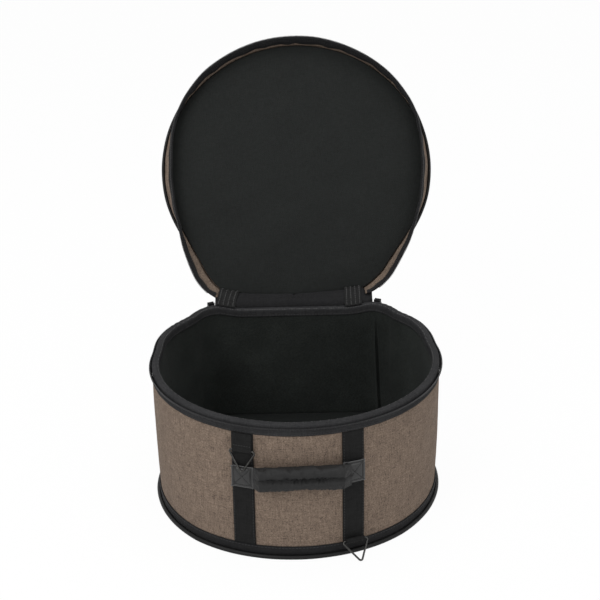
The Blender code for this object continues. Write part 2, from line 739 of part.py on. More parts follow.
def make_lid(finishes, pivot):
    axis = HINGE_AXIS
    plate("lid_panel", 0, LID_TOP - FABRIC, LID_TOP, finishes["fabric"], pivot, axis)
    plate("lid_foam", FOAM_OUTER, LID_FOAM_TOP - LID_FOAM, LID_FOAM_TOP, finishes["foam"], pivot, axis)
    plate("lid_lining", FOAM_OUTER, LID_LINING_TOP - LINING, LID_LINING_TOP, finishes["lining"], pivot, axis)
    band = rectangle(-FABRIC, 0, RIM + LID_BAND_CLEARANCE, LID_FOAM_TOP)
    open_band("lid_band", band, LID_BAND_START, finishes["fabric"], pivot, axis)
    centre = (LID_PIPING_RADIUS + FIT, LID_TOP - LID_PIPING_RADIUS)
    hoop("lid_piping", circle(centre, LID_PIPING_RADIUS), finishes["piping"], pivot, axis)
    tape = tape_profile(LID_TAPE_TOP, LID_TAPE_TOP - TAPE_SEWN, LID_TAPE_FOOT)
    open_band("lid_zip_tape", tape, LID_TAPE_START, finishes["tape"], pivot, axis)
    teeth = circle((TEETH_STANDOFF, LID_TEETH_HEIGHT), TEETH_RADIUS)
    open_band("lid_zip_teeth", teeth, LID_TEETH_START, finishes["teeth"], pivot, axis)


def main():
    clear_scene()
    finishes = {
        "fabric": material("brown_woven_fabric", (0.16, 0.12, 0.09), 0.95),
        "trim": material("black_binding", (0.022, 0.022, 0.023), 0.85),
        "piping": material("black_piping", (0.012, 0.012, 0.012), 0.6),
        "webbing": material("black_webbing", (0.018, 0.018, 0.018), 0.8),
        "patch": material("black_leatherette", (0.04, 0.043, 0.045), 0.5),
        "grip": material("black_grip_cover", (0.03, 0.032, 0.033), 0.7),
        "lining": material("black_lining", (0.022, 0.024, 0.024), 0.9),
        "foam": material("grey_foam", (0.3, 0.3, 0.3), 0.95),
        "tape": material("black_zip_tape", (0.014, 0.014, 0.014), 0.8),
        "teeth": material("black_zip_teeth", (0.01, 0.01, 0.01), 0.4),
        "metal": material("black_zip_metal", (0.02, 0.02, 0.02), 0.35, 0.8),
        "wire": material("dark_steel_wire", (0.1, 0.1, 0.1), 0.35, 1.0),
    }
    make_base(finishes)
    make_wall(finishes)
    make_rim_binding(finishes)
    make_body_zip(finishes)
    make_sliders(finishes)
    make_straps(finishes)
    make_patches(finishes)
    make_handle(finishes)
    make_rings(finishes)
    lid_pivot = add_empty("lid_pivot", HINGE_AXIS, (-LID_OPEN_ANGLE, 0, 0))
    make_lid(finishes, lid_pivot)
    make_hinge(finishes, lid_pivot)


main()
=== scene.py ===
# %% [markdown]
# # A padded bag for a tom drum, standing open
#
# The bag is a tub of padded brown cloth with a round front and a flat back. A lid of the same plan
# is sewn to the back rim and zips shut all the way round. Two webbing straps run down the front,
# with a padded handle between them and a wire ring on each.
#
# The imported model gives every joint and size. This lesson dresses it: each soft solid gets a
# finer piece of cloth in its place, and each finish gets its own weave, grain or polish.
# All lengths are in metres, and names that end in _mm or _MM are in millimetres.

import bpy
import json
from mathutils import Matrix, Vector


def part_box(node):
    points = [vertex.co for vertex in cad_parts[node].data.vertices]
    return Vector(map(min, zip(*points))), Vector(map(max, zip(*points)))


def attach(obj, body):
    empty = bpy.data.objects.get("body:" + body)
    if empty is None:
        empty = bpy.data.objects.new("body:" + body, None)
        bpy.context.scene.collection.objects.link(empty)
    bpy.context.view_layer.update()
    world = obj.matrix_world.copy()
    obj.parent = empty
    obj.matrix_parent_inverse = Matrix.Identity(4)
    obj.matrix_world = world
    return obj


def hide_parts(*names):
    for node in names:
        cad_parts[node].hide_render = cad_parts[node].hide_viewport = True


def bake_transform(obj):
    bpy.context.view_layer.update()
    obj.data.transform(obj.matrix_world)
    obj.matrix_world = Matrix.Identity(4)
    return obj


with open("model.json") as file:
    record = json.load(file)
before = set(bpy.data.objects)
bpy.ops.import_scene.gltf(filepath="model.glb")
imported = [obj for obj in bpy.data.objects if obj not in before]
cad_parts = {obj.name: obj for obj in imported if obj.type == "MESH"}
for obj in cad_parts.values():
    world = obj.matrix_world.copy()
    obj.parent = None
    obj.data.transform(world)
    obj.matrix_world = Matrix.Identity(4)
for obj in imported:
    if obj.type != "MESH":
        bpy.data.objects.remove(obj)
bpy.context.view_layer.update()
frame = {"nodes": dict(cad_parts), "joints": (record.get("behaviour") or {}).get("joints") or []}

# %% [markdown]
# ## The plan that every hoop follows
#
# Nearly every piece of this bag is a strip that goes round the same outline: a round front, two
# straight flanks, two tight corners and a flat back. So the outline is worked out once, as a table
# of places against the distance round from the middle of the front. A strip is then only a section,
# given as distance outward and height, that is carried along the table.

# %% Sizes of the plan
import json
from math import cos, pi, radians, sin

import bmesh
import bpy
import numpy as np
from mathutils import Matrix, Vector

X, Y, Z = range(3)
FRONT_RADIUS = 0.182
CORNER_RADIUS = 0.048
FLANK_FACING = radians(23.15)
BACK_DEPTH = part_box("outer_wall")[1][Y]
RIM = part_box("rim_binding")[1][Z]
JOINTS = {joint["name"]: joint for joint in frame["joints"]}
HINGE = np.array(JOINTS["lid_hinge"]["pos_m"])
LID_OPENING = radians(-JOINTS["lid_hinge"]["range_deg"][0])
CORNER_DEPTH = BACK_DEPTH - CORNER_RADIUS
BACK_HALF = (FRONT_RADIUS - CORNER_RADIUS - CORNER_DEPTH * sin(FLANK_FACING)) / cos(FLANK_FACING)


def plan_table():
    """Places and facings from the middle of the back, by the left and the front, and round."""
    arcs = [
        (-BACK_HALF, CORNER_DEPTH, CORNER_RADIUS, pi / 2, pi - FLANK_FACING),
        (0, 0, FRONT_RADIUS, pi - FLANK_FACING, 2 * pi + FLANK_FACING),
        (BACK_HALF, CORNER_DEPTH, CORNER_RADIUS, 2 * pi + FLANK_FACING, 5 * pi / 2),
    ]
    rows = [(0, BACK_DEPTH, pi / 2)]
    for x, y, radius, first, last in arcs:
        for facing in np.linspace(first, last, 200):
            rows.append((x + radius * cos(facing), y + radius * sin(facing), facing))
    rows.append((0, BACK_DEPTH, 5 * pi / 2))
    rows = np.array(rows)
    steps = np.hypot(np.diff(rows[:, 0]), np.diff(rows[:, 1]))
    return rows, np.concatenate([[0], np.cumsum(steps)])


PLAN, ALONG = plan_table()
ROUND = ALONG[-1]
BACK_TURN = ROUND / 2
print(f"the bag measures {ROUND * 1000:.0f} mm round; its back is flat for {2 * BACK_HALF * 1000:.0f} mm")


# %% Places on the plan
def place(turn):
    """x, y and facing at distances round the bag, counted from the middle of the front."""
    at = np.asarray(turn) + BACK_TURN
    return [np.interp(at, ALONG, PLAN[:, column]) for column in range(3)]


def swept(turn, out, height):
    """Points [place, section point] of a section carried round the plan."""
    x, y, facing = [values[:, None] for values in place(turn)]
    out, height = np.broadcast_arrays(np.atleast_2d(out), np.atleast_2d(height))
    out = np.broadcast_to(out, (len(turn), out.shape[1]))
    height = np.broadcast_to(height, out.shape)
    return np.stack([x + np.cos(facing) * out, y + np.sin(facing) * out, height], axis=2)


def opened(points):
    """Turns points of the closed lid to where the lid stands open."""
    turned = np.array(points, float)
    y = turned[..., Y] - HINGE[Y]
    z = turned[..., Z] - HINGE[Z]
    turned[..., Y] = HINGE[Y] + y * cos(LID_OPENING) + z * sin(LID_OPENING)
    turned[..., Z] = HINGE[Z] - y * sin(LID_OPENING) + z * cos(LID_OPENING)
    return turned


def all_round(count):
    """Evenly spaced distances for a closed hoop."""
    return np.linspace(-BACK_TURN, BACK_TURN, count, endpoint=False)


def corner_turn(angle):
    """Distance round to a place in the right back corner, that many radians past the flat back."""
    return BACK_TURN - BACK_HALF - CORNER_RADIUS * angle


# %% [markdown]
# ## Cloth is never quite even
#
# Sewn cloth over foam has slow swells and small puckers. A sum of sine waves in random directions
# makes such a field. The waves run through space, not along the strip, so that the two ends of a
# hoop meet. The seed is fixed, so each run gives the same bag.
#
# The back of this bag carries the open lid, and its rim has settled by a few millimetres under it.

# %% Uneven cloth and the settled back
BACK_SETTLES = 0.0065
SETTLE_RAMP = 0.044
FLANK_SWELL = 0.0102
FLANK_START = 0.149
FLANK_MIDDLE = {"left": 0.206, "right": 0.197}
FLANK_REACH = 0.072
SIDE_TUCK = 0.0032
SIDE_MIDDLE = 0.285
SIDE_REACH = 0.15
FRONT_FOOT = 0.003
FRONT_FOOT_TURN = -0.13
FRONT_FOOT_REACH = 0.11


def unit(vector):
    """The vector at a length of 1."""
    return vector / np.linalg.norm(vector)


def circle(count):
    """Evenly spaced angles round a full turn."""
    return np.linspace(0, 2 * pi, count, endpoint=False)


def uneven(points, seed, longest, shortest, waves=14):
    """A smooth field of about -1 to 1 over the points."""
    random = np.random.default_rng(seed)
    total = np.zeros(points.shape[:-1])
    weight = 0
    for wavelength in np.geomspace(longest, shortest, waves):
        direction = unit(random.normal(size=3))
        share = wavelength / longest
        phase = random.uniform(0, 2 * pi)
        total += share * np.sin(2 * pi * (points @ direction) / wavelength + phase)
        weight += share ** 2
    return total / np.sqrt(2 * weight)


def smooth_step(value, low, high):
    """0 up to low, 1 from high, and an even ramp between them."""
    share = np.clip((value - low) / (high - low), 0, 1)
    return share * share * (3 - 2 * share)


def slack(turn, height):
    """How far the open tub stands out of its plan: most at the flanks' rim, and in at the sides' foot."""
    from_back = BACK_TURN - np.abs(turn)[:, None]
    middle = np.where(turn < 0, FLANK_MIDDLE["left"], FLANK_MIDDLE["right"])[:, None]
    reach = np.where(from_back < middle, middle - FLANK_START, FLANK_REACH)
    flank = np.clip(1 - ((from_back - middle) / reach) ** 2, 0, 1) ** 2
    side = np.clip(1 - ((np.abs(turn)[:, None] - SIDE_MIDDLE) / SIDE_REACH) ** 2, 0, 1)
    share = np.clip(height / RIM, 0, 1)
    front = np.exp(-((turn[:, None] - FRONT_FOOT_TURN) / FRONT_FOOT_REACH) ** 2)
    return FLANK_SWELL * flank * share + (FRONT_FOOT * front - SIDE_TUCK * side) * (1 - share) ** 1.5


def tub(turn, out, height):
    """Points of the tub: a section round the plan, with the slack and the settled back."""
    height = np.broadcast_to(height, (len(turn), np.shape(height)[-1]))
    return swept(turn, out + slack(turn, height), settled(turn, height))


def settle_share(from_back):
    """1 along the flat back, where the rim has settled, and 0 past the corners."""
    return 1 - smooth_step(from_back, BACK_HALF - SETTLE_RAMP / 2, BACK_HALF + SETTLE_RAMP / 2)


def settled(turn, height):
    """Heights on the tub, let down towards the rim along the flat back."""
    share = settle_share(BACK_TURN - np.abs(turn))
    return height - BACK_SETTLES * share[:, None] * (height / RIM) ** 2


# %% [markdown]
# The open lid hangs by its cloth hinge alone, so it leans to one side, and its back corners, where
# nothing holds them, draw in. Each row of the table gives a distance round the bag, from the middle
# of the front towards its right, and how far the lid's outline stands out of the plan there.

# %% Slack of the open lid
LID_DRIFT = 0.012
LID_STANDS_OUT = (
    (-0.584, 0), (-0.492, -0.003), (-0.475, -0.010), (-0.45, -0.0155), (-0.42, -0.0135), (-0.37, -0.0085),
    (-0.32, -0.004), (-0.27, -0.0012), (-0.22, 0.001), (-0.18, 0.002), (-0.14, 0.0005), (-0.10, 0.0003),
    (-0.05, 0.0008), (0.0, 0.0015), (0.06, 0.0035), (0.11, 0.0058), (0.15, 0.0075), (0.20, 0.0095),
    (0.27, 0.0085), (0.32, 0.0065), (0.37, 0.001), (0.42, -0.0095), (0.45, -0.0145), (0.475, -0.0115),
    (0.492, -0.006), (0.584, 0),
)


def eased(turn, table, reach=0.018):
    """Amounts at distances round the bag, from a table of (distance, amount), joined by a smooth curve."""
    spots = np.linspace(-BACK_TURN, BACK_TURN, 1201)
    width = 2 * int(reach / (spots[1] - spots[0])) + 1
    kernel = np.hanning(width + 2)[1:-1]
    listed = np.pad(np.interp(spots, *np.transpose(table)), width // 2, mode="edge")
    return np.interp(turn, spots, np.convolve(listed, kernel / kernel.sum(), mode="valid"))


def lid_slack(turn):
    """How far the lid's outline stands out of its plan while it hangs open."""
    return eased(turn, LID_STANDS_OUT)


def lid_skin(turn, out, height):
    """Points of the open lid from a section given round the closed one."""
    return opened(drifted(swept(turn, out + lid_slack(turn)[:, None], height)))


def drifted(points):
    """Leans the closed lid sideways, more the further from its hinge."""
    moved = np.array(points, float)
    moved[..., X] += LID_DRIFT * (HINGE[Y] - moved[..., Y])
    return moved


# %% [markdown]
# ## From a grid of points to a piece
#
# All the strips become meshes in the same way. A grid of points is closed along its section, and
# along its length too where it is a hoop. The UV map holds real metres, so that a weave drawn on it
# keeps its thread size and follows the strip. The normals are worked out at the end, when the shell
# is closed, so that every face points outwards.

# %% Build pieces
PIECES = {}


def new_piece(name, mesh):
    """Puts a mesh in the scene as a piece of the bag."""
    piece = bpy.data.objects.new(name, mesh)
    bpy.context.scene.collection.objects.link(piece)
    PIECES[name] = piece
    return piece


def evaluated_mesh(piece):
    """The mesh that an object's modifiers make of it."""
    bpy.context.view_layer.update()
    return bpy.data.meshes.new_from_object(piece.evaluated_get(bpy.context.evaluated_depsgraph_get()))


def dress(piece, body, *nodes, slot, fill=None):
    """Says which body a piece rides on and which CAD solids it stands for, and hides those; fill is not
    used.
    """
    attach(piece, body)
    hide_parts(*nodes)


def finish_mesh(name, vertices, faces, corner_uv, finish):
    """Makes the piece, with its UV map, its outward normals and its material."""
    mesh = bpy.data.meshes.new(name)
    mesh.from_pydata(vertices.tolist(), [], faces)
    layer = mesh.uv_layers.new(name="Metres")
    layer.data.foreach_set("uv", np.asarray(corner_uv, np.float32).ravel())
    shape = bmesh.new()
    shape.from_mesh(mesh)
    bmesh.ops.recalc_face_normals(shape, faces=shape.faces)
    shape.to_mesh(mesh)
    shape.free()
    mesh.shade_smooth()
    mesh.materials.append(finish)
    return new_piece(name, mesh)


def skin(name, grid, finish, hoop=False, flat_uv=False):
    """A closed shell from points [row, column]: columns always close, rows close on a hoop."""
    rows, columns = grid.shape[:2]
    spans = rows if hoop else rows - 1
    row, column = [index.ravel() for index in np.meshgrid(range(spans), range(columns), indexing="ij")]
    next_row = (row + 1) % rows
    next_column = (column + 1) % columns
    quads = np.stack([row * columns + column, next_row * columns + column,
                      next_row * columns + next_column, row * columns + next_column], axis=1)
    vertices = grid.reshape(-1, 3)
    if flat_uv:
        corner_uv = vertices[quads][:, :, :2]
    else:
        along = np.linalg.norm(np.diff(np.concatenate([grid, grid[:1]]), axis=0), axis=2).max(axis=1)
        across = np.linalg.norm(np.diff(np.concatenate([grid, grid[:, :1]], axis=1), axis=1), axis=2)
        u = np.concatenate([[0], np.cumsum(along)])
        v = np.concatenate([[0], np.cumsum(across.max(axis=0))])
        corners = ((row, column), (row + 1, column), (row + 1, column + 1), (row, column + 1))
        corner_uv = np.stack([np.stack([u[at], v[up]], axis=1) for at, up in corners], axis=1)
    corner_uv = corner_uv.reshape(-1, 2)
    faces = quads.tolist()
    if not hoop:
        faces += [list(range(columns)), list(range((rows - 1) * columns, rows * columns))]
        corner_uv = np.concatenate([corner_uv, np.zeros((2 * columns, 2))])
    return finish_mesh(name, vertices, faces, corner_uv, finish)


def hem(turn, inner, outer, foot, top, count):
    """Section of a flat strip at each place: both faces, and a rounded fold at either edge."""
    middle = (inner + outer) / 2
    fold = abs(outer - inner) / 2
    heights = np.linspace(foot + fold, top - fold, count)
    out = np.concatenate([[outer] * count, [middle], [inner] * count, [middle]])
    height = np.concatenate([heights, [top], heights[::-1], [foot]])
    return out, np.broadcast_to(height, (len(turn), len(height)))


def thickened(path, thickness):
    """Section of a folded strip: both sides of a path, with rounded ends."""
    path = np.asarray(path, float)
    along = np.gradient(path, axis=0)
    along /= np.linalg.norm(along, axis=1)[:, None]
    side = np.stack([-along[:, 1], along[:, 0]], axis=1) * thickness / 2
    front = path[0] - along[0] * thickness / 2
    back = path[-1] + along[-1] * thickness / 2
    outline = np.concatenate([path + side, [back], (path - side)[::-1], [front]])
    return outline[:, 0], outline[:, 1]


def smooth_path(points, count):
    """An even run of points on a curve through a few chosen ones."""
    points = np.asarray(points, float)
    padded = np.concatenate([[2 * points[0] - points[1]], points, [2 * points[-1] - points[-2]]])
    found = []
    for index in range(len(points) - 1):
        a, b, c, d = padded[index:index + 4]
        for share in np.linspace(0, 1, 24, endpoint=False):
            found.append(0.5 * (2 * b + (c - a) * share + (2 * a - 5 * b + 4 * c - d) * share ** 2
                                + (3 * b - a - 3 * c + d) * share ** 3))
    found = np.array(found + [points[-1]])
    reach = np.concatenate([[0], np.cumsum(np.linalg.norm(np.diff(found, axis=0), axis=1))])
    even = np.linspace(0, reach[-1], count)
    return np.stack([np.interp(even, reach, found[:, axis]) for axis in range(points.shape[1])], axis=1)


# %% [markdown]
# ## Finishes
#
# One small function adds a node to a tree, a shader's or a Geometry Nodes tree's. Colours are
# written as screen hex values and turned to linear light by one function.

# %% Helpers for nodes and colours
MILLIMETRE = 0.001


def add(tree, kind, links=None, **settings):
    """Adds a node with its settings. links gives its inputs, each a value or another node's output."""
    node = tree.nodes.new(kind)
    for name, value in settings.items():
        setattr(node, name, value)
    for key, value in (links or {}).items():
        if isinstance(value, bpy.types.NodeSocket):
            tree.links.new(value, node.inputs[key])
        else:
            node.inputs[key].default_value = value
    return node


def calculated(tree, operation, *values):
    """What a math node makes of the values."""
    return add(tree, "ShaderNodeMath", dict(enumerate(values)), operation=operation).outputs[0]


def colour(hex_text):
    """Linear RGBA from a screen colour such as 7a6a5f."""
    channels = [int(hex_text[index:index + 2], 16) / 255 for index in (0, 2, 4)]
    linear = [c / 12.92 if c <= 0.04045 else ((c + 0.055) / 1.055) ** 2.4 for c in channels]
    return (*linear, 1)


def new_finish(name):
    """An empty material: its node tree and its Principled shader."""
    finish = bpy.data.materials.new(name)
    finish.use_nodes = True
    return finish, finish.node_tree, finish.node_tree.nodes["Principled BSDF"]


def between(tree, share, first, second):
    """A value between two others, by a share from 0 to 1."""
    return add(tree, "ShaderNodeMix", {"Factor": share, "A": first, "B": second}).outputs[0]


def two_tones(tree, share, dark, light):
    """A blend of a finish's dark and light colours."""
    mix = add(tree, "ShaderNodeMix", {"Factor": share, "A": colour(dark), "B": colour(light)},
              data_type="RGBA")
    return mix.outputs[2]


def connect(tree, shader, body, rough, bump):
    """Gives a shader its colour, its roughness and its relief."""
    tree.links.new(body, shader.inputs["Base Color"])
    tree.links.new(rough.outputs[0], shader.inputs["Roughness"])
    tree.links.new(bump.outputs[0], shader.inputs["Normal"])


# %% [markdown]
# ### Woven cloth
#
# The brown cloth is a plain-weave polyester in a heather yarn: each thread changes from pale to dark
# along its length, so the cloth is covered in short horizontal and vertical dashes. It could be
# speckled with noise, but noise has no direction. Here every thread gets its own noise along its
# length, and a chequer picks which of the two crossing threads lies on top, as in the real weave.
# On top of that, long runs of paler and darker thread go both ways, which gives linen its streaks.
# Real threads are about 0.5 mm. They are drawn a little coarser, so that they show from two metres.
#
# The same recipe makes the webbing, tapes, bindings and linings: only the yarns and sizes change.

# %% Woven finishes
RUN_STRETCH = 0.14
RUNS_ACROSS = 0.45
WARP_SEEDS = (3.0, 41.0)
WEFT_SEEDS = (19.0, 67.0)


def thread_noise(tree, index, along, seed):
    """Noise that runs along one thread and jumps to the next."""
    jump = calculated(tree, "MULTIPLY", index, 7.31)
    spot = add(tree, "ShaderNodeCombineXYZ", {"X": jump, "Y": along, "Z": seed})
    noise = add(tree, "ShaderNodeTexNoise", {"Vector": spot.outputs[0], "Scale": 1.0, "Detail": 2.0})
    return noise.outputs["Fac"]


def woven(name, dark, light, thread_mm, slub_mm, relief_mm, roughness, sheen=0.0, contrast=0.28, patchy=0.1,
          gloss=0.14, streaks=0.4):
    """Plain weave of uneven threads on the UV map's real millimetres."""
    finish, tree, shader = new_finish(name)
    spot = add(tree, "ShaderNodeUVMap", uv_map="Metres")
    axes = add(tree, "ShaderNodeSeparateXYZ", {0: spot.outputs["UV"]})
    index, run, crest = [], [], []
    for axis in (axes.outputs[0], axes.outputs[1]):
        across = calculated(tree, "DIVIDE", axis, thread_mm * MILLIMETRE)
        index.append(calculated(tree, "FLOOR", across))
        run.append(calculated(tree, "DIVIDE", axis, slub_mm * MILLIMETRE))
        wave = calculated(tree, "SINE", calculated(tree, "MULTIPLY", across, pi))
        crest.append(calculated(tree, "ABSOLUTE", wave))
    over = calculated(tree, "FLOORED_MODULO", calculated(tree, "ADD", index[0], index[1]), 2.0)
    slubs, runs = [], []
    threads = ((index[0], run[1], WARP_SEEDS), (index[1], run[0], WEFT_SEEDS))
    for thread, along, (slub_seed, run_seed) in threads:
        slubs.append(thread_noise(tree, thread, along, slub_seed))
        stretched = calculated(tree, "MULTIPLY", along, RUN_STRETCH)
        runs.append(thread_noise(tree, thread, stretched, run_seed))
    short = between(tree, over, slubs[0], slubs[1])
    long_run = between(tree, RUNS_ACROSS, runs[0], runs[1])
    yarn = between(tree, streaks, short, long_run)
    height = between(tree, over, crest[0], crest[1])
    tone = add(tree, "ShaderNodeMapRange",
               {"Value": yarn, "From Min": 0.5 - contrast / 2, "From Max": 0.5 + contrast / 2}).outputs[0]
    body = two_tones(tree, tone, dark, light)
    object_spot = add(tree, "ShaderNodeTexCoord").outputs["Object"]
    cloud = add(tree, "ShaderNodeTexNoise",
                {"Vector": object_spot, "Scale": 22.0, "Detail": 3.0}).outputs["Fac"]
    shade = add(tree, "ShaderNodeMapRange", {"Value": cloud, "From Min": 0.3, "From Max": 0.7,
                                             "To Min": 1 - patchy, "To Max": 1 + patchy})
    worn = add(tree, "ShaderNodeVectorMath", {0: body, "Scale": shade.outputs[0]}, operation="SCALE")
    rough = add(tree, "ShaderNodeMapRange", {"Value": height, "To Min": min(roughness + 0.08, 1),
                                             "To Max": roughness})
    bump = add(tree, "ShaderNodeBump",
               {"Height": height, "Distance": relief_mm * MILLIMETRE, "Strength": 0.7})
    connect(tree, shader, worn.outputs[0], rough, bump)
    shader.inputs["Sheen Weight"].default_value = sheen
    shader.inputs["Sheen Roughness"].default_value = 0.4
    shader.inputs["Specular IOR Level"].default_value = gloss
    return finish


# Matt brown, mottled and streaked along both threads: the bag's outside.
heather_cloth = woven("brown_heather_polyester", "382f29", "9d8a7a", 1.0, 2.2, 0.3, 0.9, 0.02, 0.36, 0.03,
                      streaks=0.46)
# The deepest black of the bag, flat and coarse: straps, handle ends and ring tabs.
webbing_cloth = woven("black_polypropylene_webbing", "131313", "222222", 1.2, 9.0, 0.3, 0.8)
# Dark grey that stays dull at a slant, so that the rim darkens towards its sides.
binding_cloth = woven("black_grosgrain_binding", "2a2a2b", "3e3e3f", 0.9, 6.0, 0.25, 0.85, gloss=0.05)
# Fine and even, with a faint green cast: the padding of lid and floor.
lining_cloth = woven("black_nylon_lining", "171918", "202221", 0.7, 8.0, 0.1, 0.7, 0.01, patchy=0.05,
                     streaks=0.1)
# Speckled and cloudy, as a brushed pile is: the wall's lining.
fleece_cloth = woven("black_brushed_lining", "1f2220", "2d302e", 1.0, 2.5, 0.2, 0.8, 0.03, 0.2, 0.2,
                     streaks=0.05)
# A thin smooth cover that shines softly on the grip's rolls and gathers.
grip_cloth = woven("black_polyester_grip_cloth", "171717", "232323", 0.8, 5.0, 0.18, 0.5, 0.01, gloss=0.26)
# The same dull grey as the rim, for the tape just under it.
tape_cloth = woven("black_zip_tape", "272728", "3c3c3d", 0.8, 5.0, 0.25, 0.85, gloss=0.04)
# A darker tape: the lid's edge, and the seam at the foot of the wall.
thin_tape_cloth = woven("black_lid_tape", "161617", "272728", 0.8, 5.0, 0.25, 0.75)
# Nearly as dark, so that the hinge lies quiet between lid and rim.
hinge_cloth = woven("black_hinge_twill", "171718", "262627", 0.8, 5.0, 0.25, 0.78)
# Deep relief that lights the ribs of the two hinge straps.
ribbed_cloth = woven("black_ribbed_webbing", "171717", "282828", 1.1, 6.0, 0.4, 0.7, gloss=0.14)
print("woven finishes:", [item.name for item in bpy.data.materials])


# %% [markdown]
# ### Leatherette, piping, thread, nylon and metal
#
# The handle's patches are PVC leatherette, with a fine pebbled grain that softens the light. The
# piping is the same plastic pulled tight over a cord, so it is smoother and shinier. The zip's teeth
# are a nylon coil, and its slider is black enamelled zinc. The rings are bent steel wire with a dark
# nickel plate, scratched where they swing.

# %% Plastic and metal finishes
def leatherette(name, dark, light, grain_mm, relief_mm, roughness, gloss=0.5):
    """Pebbled plastic leather: rounded cells, darker between them."""
    finish, tree, shader = new_finish(name)
    spot = add(tree, "ShaderNodeTexCoord").outputs["Object"]
    cells = add(tree, "ShaderNodeTexVoronoi", {"Vector": spot, "Scale": 1 / (grain_mm * MILLIMETRE)},
                feature="SMOOTH_F1").outputs["Distance"]
    pebble = add(tree, "ShaderNodeMapRange",
                 {"Value": cells, "From Max": 0.7, "To Min": 1.0, "To Max": 0.0})
    cloud = add(tree, "ShaderNodeTexNoise", {"Vector": spot, "Scale": 60.0, "Detail": 4.0}).outputs["Fac"]
    mixed = calculated(tree, "MULTIPLY", pebble.outputs[0], cloud)
    tone = add(tree, "ShaderNodeMapRange", {"Value": mixed, "From Min": 0.15, "From Max": 0.6}).outputs[0]
    body = two_tones(tree, tone, dark, light)
    rough = add(tree, "ShaderNodeMapRange",
                {"Value": cloud, "To Min": roughness - 0.1, "To Max": roughness + 0.12})
    bump = add(tree, "ShaderNodeBump", {"Height": pebble.outputs[0], "Distance": relief_mm * MILLIMETRE,
                                        "Strength": 0.8})
    connect(tree, shader, body, rough, bump)
    shader.inputs["Specular IOR Level"].default_value = gloss
    return finish


def hard_finish(name, dark, light, metallic, roughness, mark_mm, relief_mm):
    """Smooth plastic or metal with fine scuffs, which break up its shine."""
    finish, tree, shader = new_finish(name)
    spot = add(tree, "ShaderNodeTexCoord").outputs["Object"]
    marks = add(tree, "ShaderNodeTexNoise",
                {"Vector": spot, "Scale": 1 / (mark_mm * MILLIMETRE), "Detail": 5.0,
                 "Distortion": 0.6}).outputs["Fac"]
    body = two_tones(tree, marks, dark, light)
    rough = add(tree, "ShaderNodeMapRange", {"Value": marks, "From Min": 0.3, "From Max": 0.7,
                                             "To Min": roughness - 0.07, "To Max": roughness + 0.12})
    bump = add(tree, "ShaderNodeBump",
               {"Height": marks, "Distance": relief_mm * MILLIMETRE, "Strength": 0.3})
    connect(tree, shader, body, rough, bump)
    shader.inputs["Metallic"].default_value = metallic
    return finish


# Fine pebbles with a soft shine, a little paler than the grip.
patch_leather = leatherette("black_pvc_leatherette", "1b1b1b", "2c2c2c", 0.9, 0.12, 0.4)
# Tight and nearly black, with one thin highlight along the cord.
piping_skin = leatherette("black_pvc_piping", "0d0d0d", "161617", 0.7, 0.05, 0.5, gloss=0.22)
# Just paler than the tapes, so that the seams show as fine dashes.
thread_finish = hard_finish("black_polyester_thread", "262626", "3c3c3d", 0.0, 0.6, 0.5, 0.05)
# Darker than the leatherette: thread that also paints the shade in the box and cross grooves.
thread_and_groove_shade = hard_finish("black_bonded_thread", "0b0b0b", "141414", 0.0, 0.6, 0.5, 0.05)
# Grey thread that also paints highlights: the line along the patches' edges, the rim's inner seam and the
# hinge straps' seams on their rib crests.
pale_thread_and_highlight = hard_finish("grey_polyester_thread", "4c4c4c", "686868", 0.0, 0.6, 0.5, 0.05)
# Slightly shiny loops that glint along the teeth.
nylon = hard_finish("black_nylon_coil", "1a1a1b", "2c2c2e", 0.0, 0.36, 1.0, 0.02)
# Enamel with a half-metal gleam: sliders, pulls and stops.
enamel = hard_finish("black_enamelled_zinc", "141415", "242425", 0.5, 0.34, 1.5, 0.02)
# Dark mirror-like metal, which shows the rings as thin bright lines.
plated_wire = hard_finish("dark_nickel_plated_steel", "1f1f1f", "585755", 1.0, 0.22, 2.0, 0.02)


# %% [markdown]
# ## Stitches and zip teeth
#
# Thread and teeth repeat hundreds of times along a line, which is what Geometry Nodes are for. One
# tree takes a line of points that know which way is outwards, walks along it at an even step, and
# sets a small rounded bead at each step, turned along the line. The bead's length, width and
# thickness are named inputs: a long thin bead is a stitch, and a short wide one a coil tooth.

